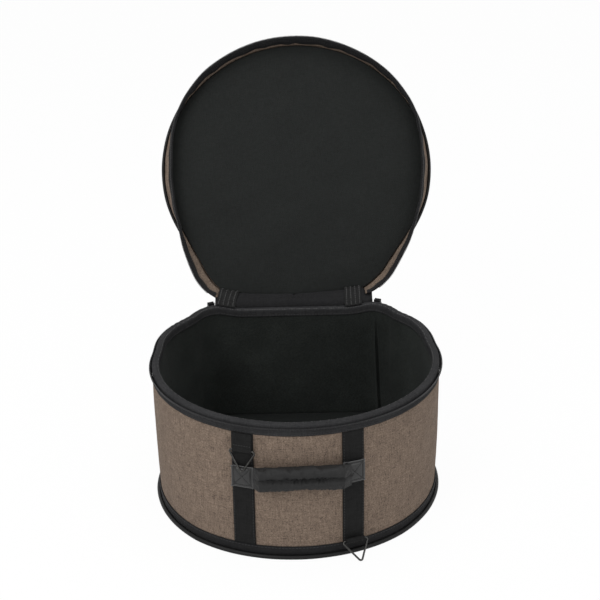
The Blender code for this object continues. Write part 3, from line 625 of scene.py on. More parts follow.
# %% A tree that sets beads along a line
def bead_tree():
    """Builds the tree once: a line in, one bead at each step out."""
    tree = bpy.data.node_groups.new("beads_along_a_line", "GeometryNodeTree")
    tree.interface.new_socket("Line", in_out="INPUT", socket_type="NodeSocketGeometry")
    for name in ("Step", "Length", "Width", "Thickness"):
        tree.interface.new_socket(name, in_out="INPUT", socket_type="NodeSocketFloat")
    tree.interface.new_socket("Finish", in_out="INPUT", socket_type="NodeSocketMaterial")
    tree.interface.new_socket("Beads", in_out="OUTPUT", socket_type="NodeSocketGeometry")
    given = add(tree, "NodeGroupInput").outputs
    curve = add(tree, "GeometryNodeMeshToCurve", {"Mesh": given["Line"]})
    walked = add(tree, "GeometryNodeResampleCurve", {"Curve": curve.outputs[0], "Length": given["Step"]},
                 mode="LENGTH")
    along = add(tree, "GeometryNodeInputTangent").outputs[0]
    outward = add(tree, "GeometryNodeInputNamedAttribute", {"Name": "outward"}, data_type="FLOAT_VECTOR")
    lengthwise = add(tree, "FunctionNodeAlignRotationToVector", {"Vector": along}, axis="X")
    turned = add(tree, "FunctionNodeAlignRotationToVector",
                 {"Rotation": lengthwise.outputs[0], "Vector": outward.outputs[0]},
                 axis="Z", pivot_axis="X")
    size = add(tree, "ShaderNodeCombineXYZ", {0: given["Length"], 1: given["Width"], 2: given["Thickness"]})
    bead = add(tree, "GeometryNodeMeshUVSphere", {"Segments": 6, "Rings": 5, "Radius": 0.5})
    placed = add(tree, "GeometryNodeInstanceOnPoints",
                 {"Points": walked.outputs[0], "Instance": bead.outputs[0], "Rotation": turned.outputs[0],
                  "Scale": size.outputs[0]})
    real = add(tree, "GeometryNodeRealizeInstances", {0: placed.outputs[0]})
    smooth = add(tree, "GeometryNodeSetShadeSmooth", {0: real.outputs[0]})
    painted = add(tree, "GeometryNodeSetMaterial", {0: smooth.outputs[0], "Material": given["Finish"]})
    add(tree, "NodeGroupOutput", {0: painted.outputs[0]})
    return tree


BEADS = bead_tree()
INPUT_KEYS = [item.identifier for item in BEADS.interface.items_tree if item.in_out == "INPUT"][1:]

# Step, length, width and thickness of each kind of bead
BINDING_STITCH = (0.0042, 0.0031, 0.0006, 0.0005)
RIM_EDGE_HIGHLIGHT_STITCH = (0.0034, 0.0029, 0.0009, 0.0006)
TAPE_STITCH = (0.0034, 0.0025, 0.0005, 0.0004)
STRAP_STITCH = (0.0038, 0.0028, 0.0006, 0.0005)
PATCH_STITCH = (0.0024, 0.0020, 0.0010, 0.0007)
PATCH_EDGE_HIGHLIGHT = (0.0010, 0.0016, 0.0008, 0.0006)
TAB_STITCH = (0.003, 0.0023, 0.0006, 0.0005)
HINGE_STITCH = (0.0028, 0.0020, 0.0008, 0.0005)
BODY_COIL = (0.0017, 0.0012, 0.0025, 0.0019)
LID_COIL = (0.0017, 0.0014, 0.0025, 0.0022)


def beads(name, lines, size, finish):
    """One piece of beads along several lines, each given as (points, outward directions, closed)."""
    mesh = bpy.data.meshes.new(name + "_line")
    vertices, edges, outward = [], [], []
    for points, directions, closed in lines:
        start = len(vertices)
        vertices += points.tolist()
        outward += directions.tolist()
        edges += [(start + index, start + index + 1) for index in range(len(points) - 1)]
        if closed:
            edges.append((start + len(points) - 1, start))
    mesh.from_pydata(vertices, edges, [])
    mesh.attributes.new("outward", "FLOAT_VECTOR", "POINT").data.foreach_set("vector", np.ravel(outward))
    line = bpy.data.objects.new(name + "_line", mesh)
    bpy.context.scene.collection.objects.link(line)
    modifier = line.modifiers.new("beads", "NODES")
    modifier.node_group = BEADS
    for key, value in zip(INPUT_KEYS, (*size, finish), strict=True):
        modifier[key] = value
    made = evaluated_mesh(line)
    bpy.data.objects.remove(line)
    bpy.data.meshes.remove(mesh)
    made.materials.clear()
    made.materials.append(finish)
    made.polygons.foreach_set("material_index", [0] * len(made.polygons))
    return new_piece(name, made)


def facings(turn):
    """Level directions outward at distances round the bag."""
    facing = place(turn)[2]
    return np.stack([np.cos(facing), np.sin(facing), np.zeros(len(turn))], axis=1)


def as_column(value, count):
    """One value, or one for each place, as a column of an array."""
    return np.broadcast_to(value, count)[:, None]


def tub_line(turn, out, height, closed=False):
    """A line for beads round the tub."""
    points = tub(turn, as_column(out, len(turn)), as_column(height, len(turn)))
    return points[:, 0], facings(turn), closed


def lid_line(turn, out, height, sense=1):
    """A line for beads round the lid, facing outwards, or inwards with sense at -1."""
    points = lid_skin(turn, as_column(out, len(turn)), as_column(height, len(turn)))
    return points[:, 0], opened(sense * facings(turn) + HINGE) - opened(HINGE), False


# %% [markdown]
# ## The camera, the floor and the light
#
# The photograph looks down into the bag from straight ahead, about 31 degrees up, with a long lens.
# The background is pure white: the world shows white to the camera and to mirrors only, and lights
# the cloth at a plain level.

# %% Camera and stage
CAMERA_DISTANCE = 1.901
CAMERA_ELEVATION = radians(31.02)
CAMERA_AZIMUTH = radians(-0.1)
CAMERA_AIM = Vector((0.0070, 0, 0.2592))
CAMERA_ROLL = radians(-1.1)
LENS_MM = 85.55
WORLD_LIGHT = 0.55
FLOOR_GLOW = 0.96


def make_camera():
    data = bpy.data.cameras.new("camera")
    data.lens = LENS_MM
    data.sensor_width = 36
    camera = bpy.data.objects.new("camera", data)
    away = CAMERA_DISTANCE * cos(CAMERA_ELEVATION)
    camera.location = (away * sin(CAMERA_AZIMUTH), -away * cos(CAMERA_AZIMUTH),
                       CAMERA_DISTANCE * sin(CAMERA_ELEVATION))
    look = (CAMERA_AIM - camera.location).to_track_quat("-Z", "Y").to_matrix().to_4x4()
    camera.matrix_world = Matrix.Translation(camera.location) @ look @ Matrix.Rotation(CAMERA_ROLL, 4, "Z")
    bpy.context.scene.collection.objects.link(camera)
    bpy.context.scene.camera = camera


def add_lamp(name, place_at, aim, size, watts):
    """A square soft light in a place, turned to what it lights."""
    data = bpy.data.lights.new(name, "AREA")
    data.size = size
    data.energy = watts
    lamp = bpy.data.objects.new(name, data)
    lamp.location = place_at
    lamp.rotation_euler = (Vector(aim) - Vector(place_at)).to_track_quat("-Z", "Y").to_euler()
    bpy.context.scene.collection.objects.link(lamp)


def seen_share(tree):
    """1 for rays from the camera, a mirror or glass, and 0 for rays that carry light."""
    path = add(tree, "ShaderNodeLightPath").outputs
    some = calculated(tree, "MAXIMUM", path["Is Camera Ray"], path["Is Glossy Ray"])
    return calculated(tree, "MAXIMUM", some, path["Is Transmission Ray"])


def make_world(light):
    world = bpy.data.worlds.new("studio")
    world.use_nodes = True
    tree = world.node_tree
    background = tree.nodes["Background"]
    background.inputs["Color"].default_value = (1, 1, 1, 1)
    strength = between(tree, seen_share(tree), light, 1.0)
    tree.links.new(strength, background.inputs["Strength"])
    bpy.context.scene.world = world


def make_floor():
    """Pale paper that shows nearly white, and keeps a soft shadow."""
    finish, tree, shader = new_finish("white_paper")
    shader.inputs["Roughness"].default_value = 1.0
    shader.inputs["Specular IOR Level"].default_value = 0.0
    grain = add(tree, "ShaderNodeTexNoise", {"Scale": 900.0})
    paper = two_tones(tree, grain.outputs["Fac"], "f4f4f4", "fbfbfb")
    tree.links.new(paper, shader.inputs["Base Color"])
    glow = add(tree, "ShaderNodeEmission", {"Color": (1, 1, 1, 1), "Strength": 1.0})
    share = calculated(tree, "MULTIPLY", seen_share(tree), FLOOR_GLOW)
    both = add(tree, "ShaderNodeMixShader", {0: share, 1: shader.outputs[0], 2: glow.outputs[0]})
    tree.links.new(both.outputs[0], tree.nodes["Material Output"].inputs["Surface"])
    bpy.ops.mesh.primitive_plane_add(size=9)
    floor = bpy.context.object
    floor.name = "floor"
    floor.data.materials.append(finish)


make_camera()
make_world(WORLD_LIGHT)
make_floor()
add_lamp("key", (-1.3, -1.6, 1.9), (0, 0, 0.12), 1.4, 26)
add_lamp("fill", (1.6, -1.5, 1.2), (0, 0, 0.12), 1.6, 7)
add_lamp("top", (0.1, 0.1, 2.4), (0, 0, 0.1), 1.6, 16)
bpy.context.scene.view_settings.view_transform = "Standard"

# %% [markdown]
# ## The tub: outer cloth, lining and floor
#
# The wall is foam between a brown cloth and a black lining. Only the two faces are ever seen, so
# each is a thick skin that meets the other inside the wall. The outer face swells very slightly
# between its seams, and is pulled flat where the straps are sewn down. The lining is slacker, and
# has creased beside the right back corner.

# %% Outer cloth of the wall
STRAP_TURN = 0.065
STRAP_HALF = 0.0125
WALL_FOOT, WALL_TOP = [corner[Z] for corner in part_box("outer_wall")]
WALL_SKIN = 0.0034
SWELL = 0.0008
PUCKER = 0.00035
STRAP_PRESSES = 0.0004
HOOP_PLACES = 440


def wall_out(turn, height):
    """How far the outer cloth stands out from the plan."""
    share = np.clip((height - WALL_FOOT) / (WALL_TOP - WALL_FOOT), 0, 1)
    points = swept(turn, np.zeros_like(height), height)
    pressed = np.exp(-((np.abs(turn) - STRAP_TURN) / STRAP_HALF) ** 4)[:, None]
    out = SWELL * np.sin(pi * share) + PUCKER * uneven(points, 11, 0.09, 0.018) * np.sin(pi * share) ** 0.5
    return out - STRAP_PRESSES * pressed


def make_wall_cloth():
    turn = all_round(HOOP_PLACES)
    out, height = hem(turn, -WALL_SKIN, 0, WALL_FOOT, WALL_TOP, 32)
    shift = np.where(out > -0.001, wall_out(turn, height), 0)
    cloth = skin("wall_cloth", tub(turn, out + shift, height), heather_cloth, hoop=True)
    dress(cloth, "bag_body", "outer_wall", "wall_foam", slot="brown_fabric", fill=0.9)
    return cloth


print("wall cloth:", len(make_wall_cloth().data.polygons), "faces")


# %% Lining of the wall
LINING_FACE = -0.0076
LINING_BACK = -0.0038
LINING_LOOSE = 0.0008
LINING_PULL = 0.0006
FLOOR_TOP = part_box("base_lining")[1][Z]
CREASE_TURN = corner_turn(radians(22.5))
CREASE_SLANT = 0.0118
CREASE_RISE = 0.0042
CREASE_GROOVE = 0.0018


def crease(turn, share):
    """A crease in slack lining: a ridge that fades towards the back and drops in front to a groove."""
    past = turn[:, None] - (CREASE_TURN - CREASE_SLANT * (1 - share))
    crest = np.where(past > 0, np.exp(-np.abs(past) / 0.009), np.exp(-(past / 0.0009) ** 2))
    groove = np.exp(-((past + 0.0024) / 0.0013) ** 2)
    reach = smooth_step(share, 0, 0.08) * (1 - smooth_step(share, 0.6, 0.93))
    return (CREASE_RISE * crest - CREASE_GROOVE * groove) * reach


def make_wall_lining():
    turn = np.unique(np.concatenate([all_round(HOOP_PLACES), CREASE_TURN + np.linspace(-0.019, 0.012, 76)]))
    out, height = hem(turn, LINING_FACE, LINING_BACK, FLOOR_TOP + 0.0003, RIM - 0.0015, 30)
    points = swept(turn, np.full_like(height, LINING_FACE), height)
    share = np.clip((height - FLOOR_TOP) / (RIM - FLOOR_TOP), 0, 1)
    loose = np.sin(pi * share) ** 0.7 * uneven(points * (1, 1, 0.35), 23, 0.12, 0.02)
    inner = out <= (LINING_FACE + LINING_BACK) / 2
    pull = LINING_PULL * np.sin(pi * share)
    shift = np.where(inner, LINING_LOOSE * loose - crease(turn, share) - pull, 0)
    lining = skin("wall_lining_cloth", tub(turn, out + shift, height), fleece_cloth, hoop=True)
    dress(lining, "bag_body", "wall_lining", slot="lining", fill=0.7)


make_wall_lining()


# %% [markdown]
# A flat panel fills the plan, so it is made of rings that shrink to the middle. Its UV map is just
# the ground plan in metres.

# %% Panels that fill the plan
def panel_grid(out, shares, height_up, height_down, places=240):
    """Rings of a panel: up its upper face from the middle, over the edge, and back underneath."""
    x, y, facing = place(all_round(places))
    out = np.broadcast_to(out, places)
    edge = np.stack([x + np.cos(facing) * out, y + np.sin(facing) * out], axis=1)
    rings = []
    for share, height in [(s, height_up) for s in shares] + [(s, height_down) for s in shares[::-1]]:
        flat = edge * share
        rings.append(np.column_stack([flat, height(flat, share)]))
    return np.stack(rings)


def level(height):
    """A face of a panel that lies level."""
    return lambda flat, share: np.full(len(flat), height)


def ring_shares(count):
    """Sizes of a panel's rings, from the middle to the edge, and closer together there."""
    return np.concatenate([[0.004], np.linspace(0.03, 0.97, count), [0.988, 0.996, 1.0]])


# %% Floor and underside
FLOOR_RISE = 0.005
FLOOR_OUT = -0.0079
FLOOR_SWELL = 0.0006


def floor_height(flat, share):
    """Top of the floor: a soft pad that rides up at the back and rounds off at its edge."""
    points = np.column_stack([flat, np.zeros(len(flat))])
    rise = FLOOR_RISE * smooth_step(flat[:, Y], 0.06, BACK_DEPTH - 0.01) * min(1, (1 - share) * 40 + 0.75)
    return FLOOR_TOP + rise + FLOOR_SWELL * uneven(points, 31, 0.11, 0.03) * (1 - share ** 8)


def foot_slack(height, places=240):
    """How far the tub's foot stands out of its plan, for the panels inside it."""
    return slack(all_round(places), np.full((places, 1), height))[:, 0]


def make_floor_pad():
    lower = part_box("base_board")[0][Z]
    grid = panel_grid(FLOOR_OUT + foot_slack(lower), ring_shares(26), floor_height, level(lower))
    pad = skin("floor_pad", grid, lining_cloth, flat_uv=True)
    dress(pad, "bag_body", "base_lining", "base_board", slot="lining", fill=0.8)


def make_underside():
    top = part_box("base_fabric")[1][Z]
    grid = panel_grid(foot_slack(0.0) - 0.0002, ring_shares(12), level(top),
                      lambda flat, share: np.full(len(flat), 0.0004 * min(1, share ** 30)))
    under = skin("underside_cloth", grid, binding_cloth, flat_uv=True)
    dress(under, "bag_body", "base_fabric", slot="binding")


make_floor_pad()
make_underside()

# %% [markdown]
# ## Bindings, piping and the stitches in them
#
# A folded grosgrain tape closes the rim over the foam, and a flat one hides the seam at the foot,
# where a fat piping runs round. Bindings pucker between their stitches, so a fine ripple runs along
# them at the stitch's own step.

# %% Rim binding
BINDING_THICK = 0.001
RIM_INNER = -0.0084
RIM_MIDDLE = -0.0044
RIM_PUCKER = 0.00022
BASE_PUCKER = 0.00018


def pucker(turn, depth):
    """The small ripple that stitching pulls into a tape."""
    return depth * np.sin(2 * pi * turn / (2.5 * BINDING_STITCH[0])) * (0.6 + 0.4 * np.sin(turn * 61))


def make_rim_binding():
    turn = all_round(720)
    path = smooth_path([(-0.0005, RIM - 0.0118), (-0.0004, RIM - 0.006), (-0.0005, RIM - 0.0022),
                        (-0.0022, RIM - 0.0006), (RIM_MIDDLE, RIM - 0.0004), (-0.0068, RIM - 0.0007),
                        (RIM_INNER, RIM - 0.0024), (RIM_INNER, RIM - 0.007),
                        (RIM_INNER + 0.0001, RIM - 0.0118)], 26)
    out, height = thickened(path, BINDING_THICK)
    wave = pucker(turn, RIM_PUCKER)[:, None]
    grid = tub(turn, out + wave * np.sign(out - RIM_MIDDLE), height + wave)
    binding = skin("rim_binding_tape", grid, binding_cloth, hoop=True)
    dress(binding, "bag_body", "rim_binding", slot="binding")
    seams = [tub_line(turn, out_at, RIM - 0.0095, closed=True) for out_at in (0.0003, RIM_INNER - 0.0007)]
    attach(beads("rim_stitches", seams, BINDING_STITCH, thread_finish), "bag_body")
    # A pale seam along the rim's inner edge: real stitching that also paints the thin highlight on that
    # edge.
    edge = [tub_line(turn, RIM_INNER + 0.0007, RIM - 0.0009, closed=True)]
    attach(beads("rim_edge_stitches", edge, RIM_EDGE_HIGHLIGHT_STITCH, pale_thread_and_highlight), "bag_body")


make_rim_binding()

# %% Base binding and piping
BASE_FOOT, BASE_TOP = [corner[Z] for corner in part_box("base_binding")]
BASE_PIPING = 0.0028
PIPING_SIDES = 14
PIPING_PLACES = 640
PIPING_WRINKLE = 0.012
WRINKLE_STEPS = (0.0058, 0.047)


def make_piping(name, out, height, radius, skin_at):
    """Piping: a cord under tight skin, with faint rings where the skin is gathered."""
    turn = all_round(PIPING_PLACES)
    around = circle(PIPING_SIDES)
    rings, swells = [PIPING_WRINKLE * np.sin(turn * 2 * pi / step) for step in WRINKLE_STEPS]
    swell = radius * (1 + rings + swells)
    out = out + swell[:, None] * np.cos(around)
    height = height + swell[:, None] * np.sin(around)
    return skin(name, skin_at(turn, out, height), piping_skin, hoop=True)


def make_base_edge():
    turn = all_round(600)
    out, height = hem(turn, 0.0003, 0.0014, BASE_FOOT - 0.0026, BASE_TOP, 9)
    bulge = 0.0005 * np.sin(pi * (height - BASE_FOOT) / (BASE_TOP - BASE_FOOT))
    shift = pucker(turn, BASE_PUCKER)[:, None] + bulge
    binding = skin("base_binding_tape", tub(turn, out + shift, height), thin_tape_cloth, hoop=True)
    dress(binding, "bag_body", "base_binding", slot="binding")
    piping = make_piping("base_piping_cord", BASE_PIPING + 0.0003, BASE_PIPING + 0.0003, BASE_PIPING, tub)
    dress(piping, "bag_body", "base_piping", slot="piping")
    seam = [tub_line(turn, 0.0017, BASE_TOP - 0.0022, closed=True)]
    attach(beads("base_stitches", seam, BINDING_STITCH, thread_finish), "bag_body")


make_base_edge()

# %% [markdown]
# ## The zip
#
# Each half of the zip is a woven tape with a nylon coil sewn along its free edge. The tape leans out
# from the wall to its teeth. The coil's loops are far too many to model one by one, so the bead tree
# lays them. The sliders, pulls and stops are small castings: their CAD shapes are right, and only
# want their edges rounded.

# %% Tub half of the zip
TEETH_OUT = 0.0032
BODY_TEETH = RIM - 0.005
TAPE_THICK = 0.0008
TAPE_WAVE = 0.0001
BODY_TAPE_END = corner_turn(radians(12))
BODY_TEETH_END = corner_turn(radians(17))


def along_strip(end, count, more=0.0):
    """Distances along a strip that stops short of the back, with some more length at the right."""
    return np.linspace(-end, end + more, count)


def make_body_zip():
    turn = along_strip(BODY_TAPE_END, 520)
    path = smooth_path([(0.0008, BODY_TEETH - 0.0094), (0.0008, BODY_TEETH - 0.0055),
                        (0.0018, BODY_TEETH - 0.003), (TEETH_OUT, BODY_TEETH - 0.0013)], 12)
    out, height = thickened(path, TAPE_THICK)
    wave = TAPE_WAVE * np.sin(turn * 2 * pi / 0.031)[:, None]
    tape = skin("body_zip_tape_cloth", tub(turn, out + wave, height), tape_cloth)
    dress(tape, "bag_body", "body_zip_tape", slot="zip_tape")
    teeth = [tub_line(along_strip(BODY_TEETH_END, 700), TEETH_OUT, BODY_TEETH)]
    coil = beads("body_zip_coil", teeth, BODY_COIL, nylon)
    dress(coil, "bag_body", "body_zip_teeth", slot="zip_teeth")
    seam = [tub_line(along_strip(BODY_TAPE_END, 500), 0.0014, BODY_TEETH - 0.0078)]
    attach(beads("body_zip_stitches", seam, TAPE_STITCH, thread_finish), "bag_body")


make_body_zip()


# %% Sliders, pulls and stops
CASTING_EDGE = 0.0003


def casting(node, name, body):
    """A CAD node's shape with its flat faces merged and its edges rounded."""
    mesh = frame["nodes"][node].data.copy()
    mesh.materials.clear()
    mesh.materials.append(enamel)
    shape = bmesh.new()
    shape.from_mesh(mesh)
    bmesh.ops.remove_doubles(shape, verts=shape.verts, dist=0.000002)
    bmesh.ops.dissolve_limit(shape, angle_limit=radians(2), verts=shape.verts, edges=shape.edges)
    for face in shape.faces:
        face.material_index = 0
    shape.to_mesh(mesh)
    shape.free()
    piece = new_piece(name, mesh)
    bevel = piece.modifiers.new("rounded", "BEVEL")
    bevel.width = CASTING_EDGE
    bevel.segments = 3
    bevel.limit_method = "ANGLE"
    bevel.angle_limit = radians(35)
    made = evaluated_mesh(piece)
    piece.modifiers.clear()
    piece.data = made
    made.shade_smooth()
    made.set_sharp_from_angle(angle=radians(40))
    dress(piece, body, node, slot="zip_metal")


for side in ("left", "right"):
    casting("zip_slider_" + side, "slider_" + side + "_casting", "slider_" + side)
    casting("zip_pull_" + side, "pull_" + side + "_casting", "pull_" + side)
    casting("zip_stop_" + side, "stop_" + side + "_casting", "bag_body")

# %% [markdown]
# ## Straps and patches on the front
#
# The straps are flat polypropylene webbing, sewn down both edges over the brown cloth. They follow
# the cloth's own swell, so they are made from the same function. The leatherette patches hold the
# ends of the handle. They are sewn with a box and a cross, and their free corners curl up.

# %% Straps
STRAP_FOOT, STRAP_TOP = [corner[Z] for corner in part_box("strap_left")]
STRAP_THICK = 0.0015
STRAP_SPARE = 0.0011
STRAP_WAVE = 0.00012
SEAM_INSET = 0.0018


def stand_off(turn, height):
    """Out from the plan to just over the outer cloth."""
    return 0.0003 + wall_out(np.asarray(turn), np.asarray(height)) + STRAP_PRESSES


def front_strip(name, middle, half, inner, outer, foot, top, finish, across=17, count=40, shape=None):
    """A piece of flat webbing or patch on the front, with its own swell if shape gives one."""
    turn = np.linspace(middle - half, middle + half, across)
    out, height = hem(turn, inner, outer, foot, top, count)
    base = stand_off(turn, height)
    edge = np.abs(turn - middle)[:, None] / half
    out = inner + (out - inner) * np.where(edge > 0.999, 0.45, 1)
    lift = shape(turn, height) if shape else 0
    return skin(name, tub(turn, out + base + lift, height), finish)


def make_straps():
    half = STRAP_HALF + STRAP_SPARE
    for side, word in ((-1, "left"), (1, "right")):
        middle = side * (STRAP_TURN + STRAP_SPARE)

        def wave(turn, height):
            return STRAP_WAVE * np.sin(height * 2 * pi / 0.043 + side)

        strap = front_strip("strap_" + word + "_webbing", middle, half, 0, STRAP_THICK,
                            STRAP_FOOT, STRAP_TOP, webbing_cloth, count=90, shape=wave)
        dress(strap, "bag_body", "strap_" + word, slot="webbing")
        height = np.linspace(STRAP_FOOT + 0.004, STRAP_TOP - 0.004, 60)
        seams = []
        for edge in (-1, 1):
            turn = np.full(60, middle + edge * (half - SEAM_INSET))
            out = stand_off(turn, height[:, None])[:, 0] + STRAP_THICK + 0.00015
            seams.append(tub_line(turn, out, height))
        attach(beads("strap_" + word + "_stitches", seams, STRAP_STITCH, thread_finish), "bag_body")


make_straps()

# %% Patches and the webbing ends under them
HANDLE_HEIGHT = JOINTS["handle_swing"]["pos_m"][Z]
PATCH_HALF = 0.013
PATCH_RISE = 0.014
PATCH_THICK = 0.0011
PATCH_FULL = 0.0016
PATCH_GROOVE = 0.0009
ANCHOR_THICK = 0.003
ANCHOR_HALF = 0.0115
ANCHOR_RISE = 0.0095
CURL = 0.0016
BOX_INSET = 0.0028
PATCHES = (("left", -1, 0.0), ("right", 1, 0.0035))
PATCH_CORNERS = ((-1, -1), (1, -1), (1, 1), (-1, 1))
BOX_SIDES = [(PATCH_CORNERS[index], PATCH_CORNERS[(index + 1) % 4]) for index in range(4)]
BOX_CROSS = [((-1, -1), (1, 1)), ((-1, 1), (1, -1))]


def patch_lift(across, up, side):
    """How far a patch's face stands off: full between its seams, curled up at its corners."""
    corner = np.abs(across * up) ** 4
    curl = CURL * corner * (1.2 + 0.6 * np.sin(4 * across + side) + 0.5 * side * across)
    box_across, box_up = 1 - BOX_INSET / PATCH_HALF, 1 - BOX_INSET / PATCH_RISE
    seams = [np.abs(across / box_across) - 1, np.abs(up / box_up) - 1]
    seams += [across / box_across - up / box_up, across / box_across + up / box_up]
    groove = sum(np.exp(-(seam / 0.11) ** 2) for seam in seams)
    full = PATCH_FULL * np.clip(np.cos(across * 1.5), 0, 1) ** 0.5 * np.clip(np.cos(up * 1.5), 0, 1) ** 0.5
    return curl + full - PATCH_GROOVE * np.clip(groove, 0, 1.1)


def line_between(ends, scale, count):
    """Points across and up on a straight line between two ends, each given as shares of a scale."""
    share = np.linspace(0, 1, count)
    (x, z), (next_x, next_z) = ends
    wide, tall = scale
    return x * wide + (next_x * wide - x * wide) * share, z * tall + (next_z * tall - z * tall) * share


def make_patches():
    for word, side, raised in PATCHES:
        middle = side * STRAP_TURN
        rise = HANDLE_HEIGHT + raised
        inner = STRAP_THICK + ANCHOR_THICK
        sewn_at = side * (STRAP_TURN - PATCH_HALF + ANCHOR_HALF)
        anchor = front_strip("handle_end_" + word + "_webbing", sewn_at, ANCHOR_HALF,
                             STRAP_THICK + 0.0002, inner - 0.0002,
                             HANDLE_HEIGHT - ANCHOR_RISE, HANDLE_HEIGHT + ANCHOR_RISE,
                             webbing_cloth, count=12)
        dress(anchor, "bag_body", "handle_anchor_" + word, slot="webbing")

        def lift(turn, height):
            return patch_lift((turn[:, None] - middle) / PATCH_HALF, (height - rise) / PATCH_RISE, side)

        patch = front_strip("handle_patch_" + word + "_leather", middle, PATCH_HALF,
                            inner, inner + PATCH_THICK, rise - PATCH_RISE, rise + PATCH_RISE,
                            patch_leather, across=53, count=54, shape=lift)
        dress(patch, "bag_body", "handle_patch_" + word, slot="patch")

        def line_on_patch(across, up, above):
            """A line for beads at places given as metres from the patch's middle."""
            lifted = patch_lift(across / PATCH_HALF, up / PATCH_RISE, side)
            out = stand_off(middle + across, rise + up[:, None])[:, 0] + inner + above + lifted
            return tub_line(middle + across, out, rise + up)

        # The box and cross are beaded in near-black thread, which also paints the shade in their grooves.
        box = (PATCH_HALF - BOX_INSET, PATCH_RISE - BOX_INSET)
        seams = [line_on_patch(*line_between(ends, box, 16), 0.0013) for ends in BOX_SIDES + BOX_CROSS]
        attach(beads("patch_" + word + "_stitches", seams, PATCH_STITCH, thread_and_groove_shade), "bag_body")
        # Pale beads just inside each patch's outline paint the highlight along its edges.
        rim = (0.98 * PATCH_HALF, 0.985 * PATCH_RISE)
        edges = [line_on_patch(*line_between(ends, rim, 24), 0.0009) for ends in BOX_SIDES]
        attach(beads("patch_" + word + "_cut_edge", edges, PATCH_EDGE_HIGHLIGHT, pale_thread_and_highlight), "bag_body")


make_patches()

# %% [markdown]
# ## The handle
#
# A strip of webbing comes out from under one patch, bows out from the wall and goes back under the
# other. A padded sleeve is sewn round it: two soft rolls with a seam between them, gathered where
# the thread pulls the cloth together.
#
# The sleeve starts as a thin flat tube. Blender's Cloth then blows it up with its seams and its ends
# pinned, and with slightly more cloth than the seams have length, so that it swells into rolls and
# wrinkles by itself. The stitching's small gathers are pushed in afterwards.

# %% Handle webbing
HANDLE_AXIS = JOINTS["handle_swing"]["pos_m"]
HANDLE_HALF_SPAN = 0.0508
HANDLE_BOW = 0.0125
HANDLE_THICK = 0.0015
HANDLE_RISE = 0.0094


def bow(x):
    """How far the webbing stands out from the line between its ends."""
    return HANDLE_BOW * np.clip(1 - np.abs(x / HANDLE_HALF_SPAN) ** 14, 0, 1) ** 0.5


def make_handle_webbing():
    x = HANDLE_HALF_SPAN * np.sin(np.linspace(-pi / 2, pi / 2, 61))
    out, depth = thickened(np.stack([x, -bow(x)], axis=1), HANDLE_THICK)
    middle = -bow(np.clip(out, -HANDLE_HALF_SPAN, HANDLE_HALF_SPAN))
    narrow = 1 - 0.25 * np.clip(np.abs(out) / HANDLE_HALF_SPAN, 0, 1) ** 8
    rows = []
    for rise in np.linspace(-HANDLE_RISE, HANDLE_RISE, 9):
        thin = 0.5 if abs(rise) == HANDLE_RISE else 1.0
        y = HANDLE_AXIS[Y] + (middle + (depth - middle) * thin)
        rows.append(np.stack([out, y, HANDLE_HEIGHT + rise * narrow], axis=1))
    strip = skin("handle_strip_webbing", np.stack(rows), webbing_cloth)
    dress(strip, "handle", "handle_webbing", slot="webbing")


make_handle_webbing()

# %% Blow up a sewn piece
def vertex_places(mesh):
    """Where a mesh's vertices are."""
    return np.array([vertex.co for vertex in mesh.vertices])


def move_vertices(mesh, places):
    """Moves a mesh's vertices to new places."""
    mesh.vertices.foreach_set("co", places.ravel())
    mesh.update()


def blown_up(piece, pinned, pressure, spare, most, frames=18):
    """Swells a closed piece with the Cloth modifier: pinned gives each point's hold, from 0 to 1."""
    scene = bpy.context.scene
    group = piece.vertex_groups.new(name="pinned")
    for index, hold in enumerate(pinned):
        if hold > 0:
            group.add([index], float(hold), "REPLACE")
    cloth = piece.modifiers.new("swell", "CLOTH")
    settings = {"quality": 8, "mass": 0.15, "tension_stiffness": 12, "compression_stiffness": 12,
                "bending_stiffness": 0.05, "use_pressure": True, "uniform_pressure_force": pressure,
                "shrink_min": -spare, "vertex_group_mass": "pinned"}
    for name, value in settings.items():
        setattr(cloth.settings, name, value)
    cloth.settings.effector_weights.gravity = 0
    cloth.point_cache.frame_start = 1
    cloth.point_cache.frame_end = frames
    before = vertex_places(piece.data)
    for frame_number in range(1, frames + 1):
        scene.frame_set(frame_number)
    evaluated = piece.evaluated_get(bpy.context.evaluated_depsgraph_get())
    after = vertex_places(evaluated.data)
    piece.modifiers.clear()
    piece.vertex_groups.clear()
    scene.frame_set(1)
    moved = after - before
    length = np.linalg.norm(moved, axis=1)[:, None]
    moved *= np.minimum(1, most / np.maximum(length, 1e-9))
    move_vertices(piece.data, before + moved)
    print(f"{piece.name} swelled by up to {length.max() * 1000:.1f} mm")


def subdivided(piece, levels=1):
    """Subdivides a piece for good."""
    modifier = piece.modifiers.new("smooth", "SUBSURF")
    modifier.levels = levels
    made = evaluated_mesh(piece)
    piece.modifiers.clear()
    piece.data = made
    made.shade_smooth()


# %% Padded grip
GRIP_LEFT = -0.0535
GRIP_RIGHT = 0.0625
GRIP_THICK = 0.0066
GRIP_RISE = 0.0150
GRIP_SET_OUT = 0.0022
GRIP_LEVEL = HANDLE_HEIGHT + 0.0048
GRIP_SLOPE = 0.02
GRIP_AROUND = 48
GRIP_ALONG = 84
GATHER_STEP = 0.0058
GATHER_DEPTH = 0.0013
FOOT_GATHER = 0.0005
FOOT_RIPPLE = 0.0004
PLEAT_STEP = 0.0135
PLEAT_DEPTH = 0.0007
GRIP_UNEVEN = 0.0004


def grip_end(x):
    """1 at the sleeve's flat ends, 0 where it is padded."""
    return smooth_step(-x, -GRIP_LEFT - 0.008, -GRIP_LEFT) + smooth_step(x, GRIP_RIGHT - 0.009, GRIP_RIGHT)


